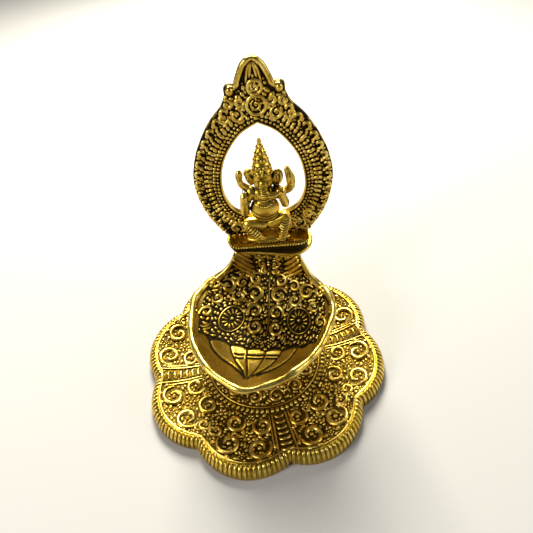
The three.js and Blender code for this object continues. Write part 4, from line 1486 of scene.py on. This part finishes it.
def fusedFigure():
    s = figureSet
    bm = bmesh.new()
    for place, size, leanBy in s["lumps"]:
        turn = Matrix.Translation(figurePlace(place)) @ Matrix.Rotation(math.radians(leanBy), 4, "Y")
        bmesh.ops.create_uvsphere(bm, u_segments=24, v_segments=16, radius=1,
                                  matrix=turn @ Matrix.Diagonal((*size, 1)))
    tubes = []
    for run in s["limbs"]:
        line = smoothLine([figurePlace(place) for place, _ in run], 6)
        radii = smoothLine([(radius, 0, 0) for _, radius in run], 6)
        tubes.append((line, [r.x for r in radii], False))
        for place, radius in (run[0], run[-1]):
            bmesh.ops.create_uvsphere(bm, u_segments=14, v_segments=10, radius=radius,
                                      matrix=Matrix.Translation(figurePlace(place)))
    addTubes(bm, tubes, 3)
    crown = bmesh.new()
    turnedSheet(crown, s["crown"], 40, False)
    bmesh.ops.translate(crown, vec=figurePlace((0, 0.4, 0)), verts=crown.verts)
    mesh = bpy.data.meshes.new("crown")
    crown.to_mesh(mesh)
    crown.free()
    bm.from_mesh(mesh)
    bpy.data.meshes.remove(mesh)
    mesh = bpy.data.meshes.new("figureRough")
    bm.to_mesh(mesh)
    bm.free()
    rough = bpy.data.objects.new("figureRough", mesh)
    bpy.context.collection.objects.link(rough)
    fuse = rough.modifiers.new("fuse", "REMESH")
    fuse.mode = "VOXEL"
    fuse.voxel_size = s["voxel"]
    graph = bpy.context.evaluated_depsgraph_get()
    fused = bpy.data.meshes.new_from_object(rough.evaluated_get(graph))
    bm = bmesh.new()
    bm.from_mesh(fused)
    bpy.data.objects.remove(rough)
    bpy.data.meshes.remove(mesh)
    bpy.data.meshes.remove(fused)
    for _ in range(3):
        bmesh.ops.smooth_vert(bm, verts=bm.verts, factor=0.5, use_axis_x=True, use_axis_y=True,
                              use_axis_z=True)
    return bm


def drawFigurePattern(pattern):
    z = lambda value: archFoot + value
    for hand in (-1, 1):
        # ear ribs, eye, brow, tusk
        ear = 0.6 if hand > 0 else 0
        pattern.line(smoothLine([(hand * 4.8, z(40.4 - ear), 0), (hand * 7.3, z(40.2 - ear), 0),
                                 (hand * 8.2, z(36.6 - ear), 0), (hand * 6.8, z(32.8 - ear), 0),
                                 (hand * 5.2, z(32.8), 0)], 6), 0.42)
        pattern.line(smoothLine([(hand * 5.2, z(38.2), 0), (hand * 6.6, z(37.0), 0),
                                 (hand * 6.2, z(34.4), 0)], 5), 0.36)
        pattern.dot(hand * 2.2, z(35.4), 0.5, 0.85, 0.3 * hand, 0.55)
        pattern.line(smoothLine([(hand * 1.2, z(36.4), 0), (hand * 2.4, z(36.8), 0),
                                 (hand * 3.5, z(36.0), 0)], 4), 0.32)
        pattern.line([(hand * 1.9, z(32.6)), (hand * 2.8, z(31.2)), (hand * 3.3, z(30.2))], 0.5, taper=0.5)
    # armlets and bracelets
    for u, v, heading in ((-8.4, 25.4, -0.4), (-9.6, 21.0, 0), (-10.4, 35.2, 0), (8.8, 25.4, 0.5),
                          (12.1, 34.0, 0), (12.0, 31.2, 0)):
        for t in (-0.5, 0.5):
            pattern.line([(u - 1.9, z(v + t - heading)), (u, z(v + t)), (u + 1.9, z(v + t + heading))],
                         0.34, taper=0.8)
    for k in range(4):
        pattern.line([(-10.5 + 0.9 * k, z(27.6)), (-10.4 + 0.85 * k, z(30.6 + 0.3 * (k in (1, 2))))], 0.44)
    for k in range(3):
        pattern.line([(10.3 + 0.85 * k, z(36.4)), (10.3 + 0.8 * k, z(38.8))], 0.36)
        pattern.line([(-11.3 + 0.85 * k, z(35.8)), (-11.3 + 0.85 * k, z(38.4))], 0.36)
    for u, v in ((6.5, 31.6), (7.9, 32.1), (9.1, 31.4), (7.5, 30.8)):
        pattern.dot(u, z(v), 0.9, 0.9, 0, 0.9)
    # rings along the trunk
    for k in range(5):
        v = 34.2 - 1.1 * k
        wide = 2.1 - 0.1 * k
        pattern.line(smoothLine([(-wide, z(v + 0.5), 0), (0, z(v), 0), (wide, z(v + 0.5), 0)], 4), 0.28)
    # necklaces and belt
    for sag, wide, size in ((25.2, 4.6, 0.5), (22.8, 5.8, 0.62)):
        for k in range(13):
            t = -1 + 2 * k / 12
            pattern.dot(wide * t, z(sag + 3.6 * t * t), size)
    pattern.line(smoothLine([(-6.2, z(17.2), 0), (-3, z(15.0), 0), (0, z(14.4), 0), (3, z(15.0), 0),
                             (6.0, z(17.2), 0)], 6), 0.65)
    pattern.line(smoothLine([(-6.0, z(20.2), 0), (-2, z(17.6), 0), (2.6, z(17.4), 0),
                             (5.8, z(19.0), 0)], 6), 0.42)
    pattern.dot(0.1, z(19.6), 0.5, 0.5, 0, 0.3)
    # folds of cloth over the legs
    for k in range(7):
        v = 5.0 + 1.35 * k
        u = 7.0 + 0.32 * k
        pattern.line(smoothLine([(u - 2.4, z(v + 0.7), 0), (u, z(v - 0.2), 0),
                                 (u + 2.3, z(v + 0.9), 0)], 4), 0.46)
    for k in range(6):
        u, v = -4.6 - 0.95 * k, 5.4 + 1.0 * k
        pattern.line(smoothLine([(u - 1.6, z(v - 1.3), 0), (u - 0.1, z(v - 0.3), 0),
                                 (u + 1.5, z(v + 1.5), 0)], 4), 0.42)
    for u in (-3.6, 6.7):
        for k in range(4):
            pattern.dot(u - 1.4 + 0.9 * k, z(2.6), 0.42, 0.5, 0, 0.4)
    # crown: beads round each tier and a jewel in front
    for level, radius, count in ((40.2, 4.6, 9), (43.3, 4.0, 8), (46.5, 3.2, 7), (49.5, 2.3, 5),
                                 (52.3, 1.4, 3)):
        for k in range(count):
            angle = math.pi * (k + 0.5) / count
            pattern.dot(radius * 0.97 * math.cos(angle), z(level), 0.52, 0.8, math.pi / 2, 0.6)
    pattern.dot(0, z(41.6), 0.95, 1.5, math.pi / 2, 0.9)
    # cushion
    for k in range(18):
        t = -1 + 2 * k / 17
        pattern.dot(10.6 * t, z(0.8), 0.55, 0.8, math.pi / 2, 0.5)


def makeFigure():
    bm = fusedFigure()
    back = -shrineSet["archForward"] - 0.5 * shrineSet["archThickness"] - figureSet["behind"]
    for vert in bm.verts:
        vert.co.z = max(vert.co.z, archFoot)
        vert.co.y = min(vert.co.y, back)
    tree = BVHTree.FromBMesh(bm)
    first = len(bm.verts)
    pattern = Pattern(tree, faceFrame)
    drawFigurePattern(pattern)
    pattern.lay(bm)
    whole = BVHTree.FromBMesh(bm)
    bm.normal_update()
    markHigh(bm, first, tree, 0.4)
    high = bm.verts.layers.float["high"]
    bm.verts.ensure_lookup_table()
    # the figure's colour follows sky openness: its creases take the dark patina colour, partly as patina and
    # partly as painted shade, and its open parts lean to the pale rubbed colour and painted highlight
    for vert in bm.verts[:first]:
        vert[high] = 0.05 + 0.75 * smoothStep(0.35, 0.95, openness(whole, vert.co, vert.normal, 2.2))
    bmesh.ops.transform(bm, matrix=shrineFrame, verts=bm.verts)
    return addPiece("seatedFigure", bm, "shrine", ["deity_figure"], reliefGold)


makeStem()
makeStud()
makeNut()
makeWasher("studWasher", "stud_washer", "bowl", (0, 0))
makeWasher("screwWasher", "screw_washer", "shrine", (pivot.x, pivot.y), fastenerSet["screwWasher"])
makeScrew()
makeSeat()
makeLedge()
makeArch()
makeFigure()

# ---- stage, light and camera

stageSet = {
    "floorHalf": 3.0,
    "floorColour": (0.52, 0.51, 0.49, 1),
    "target": (-8.7, 62.6, 7.0),
    "azimuth": 14.38,
    "elevation": 45.17,
    "roll": 6.5,
    "distance": 278.0,
    "focal": 29.72,
    # lights: name, place, aim, (wide, tall), power, tint
    "lights": [
        ("keyLight", (-0.17, 0.62, 0.62), (0, 0, 0.03), (0.32, 0.32), 17.0, (1, 0.97, 0.86)),
        ("fillLight", (-0.6, -0.5, 0.5), (0, 0, 0.06), (0.3, 0.3), 4.6, (1, 0.98, 0.95)),
        ("sideLight", (0.8, 0.1, 0.45), (0, 0, 0.06), (0.3, 0.5), 2.4, (1, 0.98, 0.94)),
    ],
    "skyColour": (0.6, 0.6, 0.62, 1),
    "skyStrength": 0.17,
}


def makeFloor():
    bm = bmesh.new()
    half = stageSet["floorHalf"]
    bmesh.ops.create_grid(bm, x_segments=8, y_segments=8, size=half)
    mesh = bpy.data.meshes.new("floor")
    bm.to_mesh(mesh)
    bm.free()
    floor = bpy.data.objects.new("floor", mesh)
    bpy.context.collection.objects.link(floor)
    material = bpy.data.materials.new("paleFloor")
    material.use_nodes = True
    surface = material.node_tree.nodes["Principled BSDF"]
    surface.inputs["Base Color"].default_value = stageSet["floorColour"]
    surface.inputs["Roughness"].default_value = 0.85
    mesh.materials.append(material)


def addSoftbox(name, place, aim, size, power, tint):
    lamp = bpy.data.lights.new(name, "AREA")
    lamp.shape = "RECTANGLE"
    lamp.size, lamp.size_y = size
    lamp.energy = power
    lamp.color = tint
    holder = bpy.data.objects.new(name, lamp)
    bpy.context.collection.objects.link(holder)
    place, aim = Vector(place), Vector(aim)
    turn = (aim - place).to_track_quat("-Z", "Y").to_matrix().to_4x4()
    holder.matrix_world = Matrix.Translation(place) @ turn


def makeCamera():
    s = stageSet
    az, el, roll = (math.radians(s[k]) for k in ("azimuth", "elevation", "roll"))
    back = Vector((math.sin(az) * math.cos(el), -math.cos(az) * math.cos(el), math.sin(el)))
    right = Vector((math.cos(az), math.sin(az), 0))
    over = back.cross(right)
    across = right * math.cos(roll) - over * math.sin(roll)
    above = right * math.sin(roll) + over * math.cos(roll)
    place = (Vector(s["target"]) + back * s["distance"]) * mm
    view = Matrix((across, above, back)).transposed().to_4x4()
    view.translation = place
    camera = bpy.data.cameras.new("camera")
    camera.lens = s["focal"]
    camera.sensor_width = 36
    camera.clip_start = 0.01
    holder = bpy.data.objects.new("camera", camera)
    holder.matrix_world = view
    bpy.context.collection.objects.link(holder)
    bpy.context.scene.camera = holder


makeFloor()
print("floor is in")
for softbox in stageSet["lights"]:
    addSoftbox(*softbox)
bpy.context.scene.view_settings.view_transform = "Standard"
world = bpy.data.worlds.new("studio")
world.use_nodes = True
sky = world.node_tree.nodes["Background"]
sky.inputs["Color"].default_value = stageSet["skyColour"]
sky.inputs["Strength"].default_value = stageSet["skyStrength"]
bpy.context.scene.world = world
makeCamera()
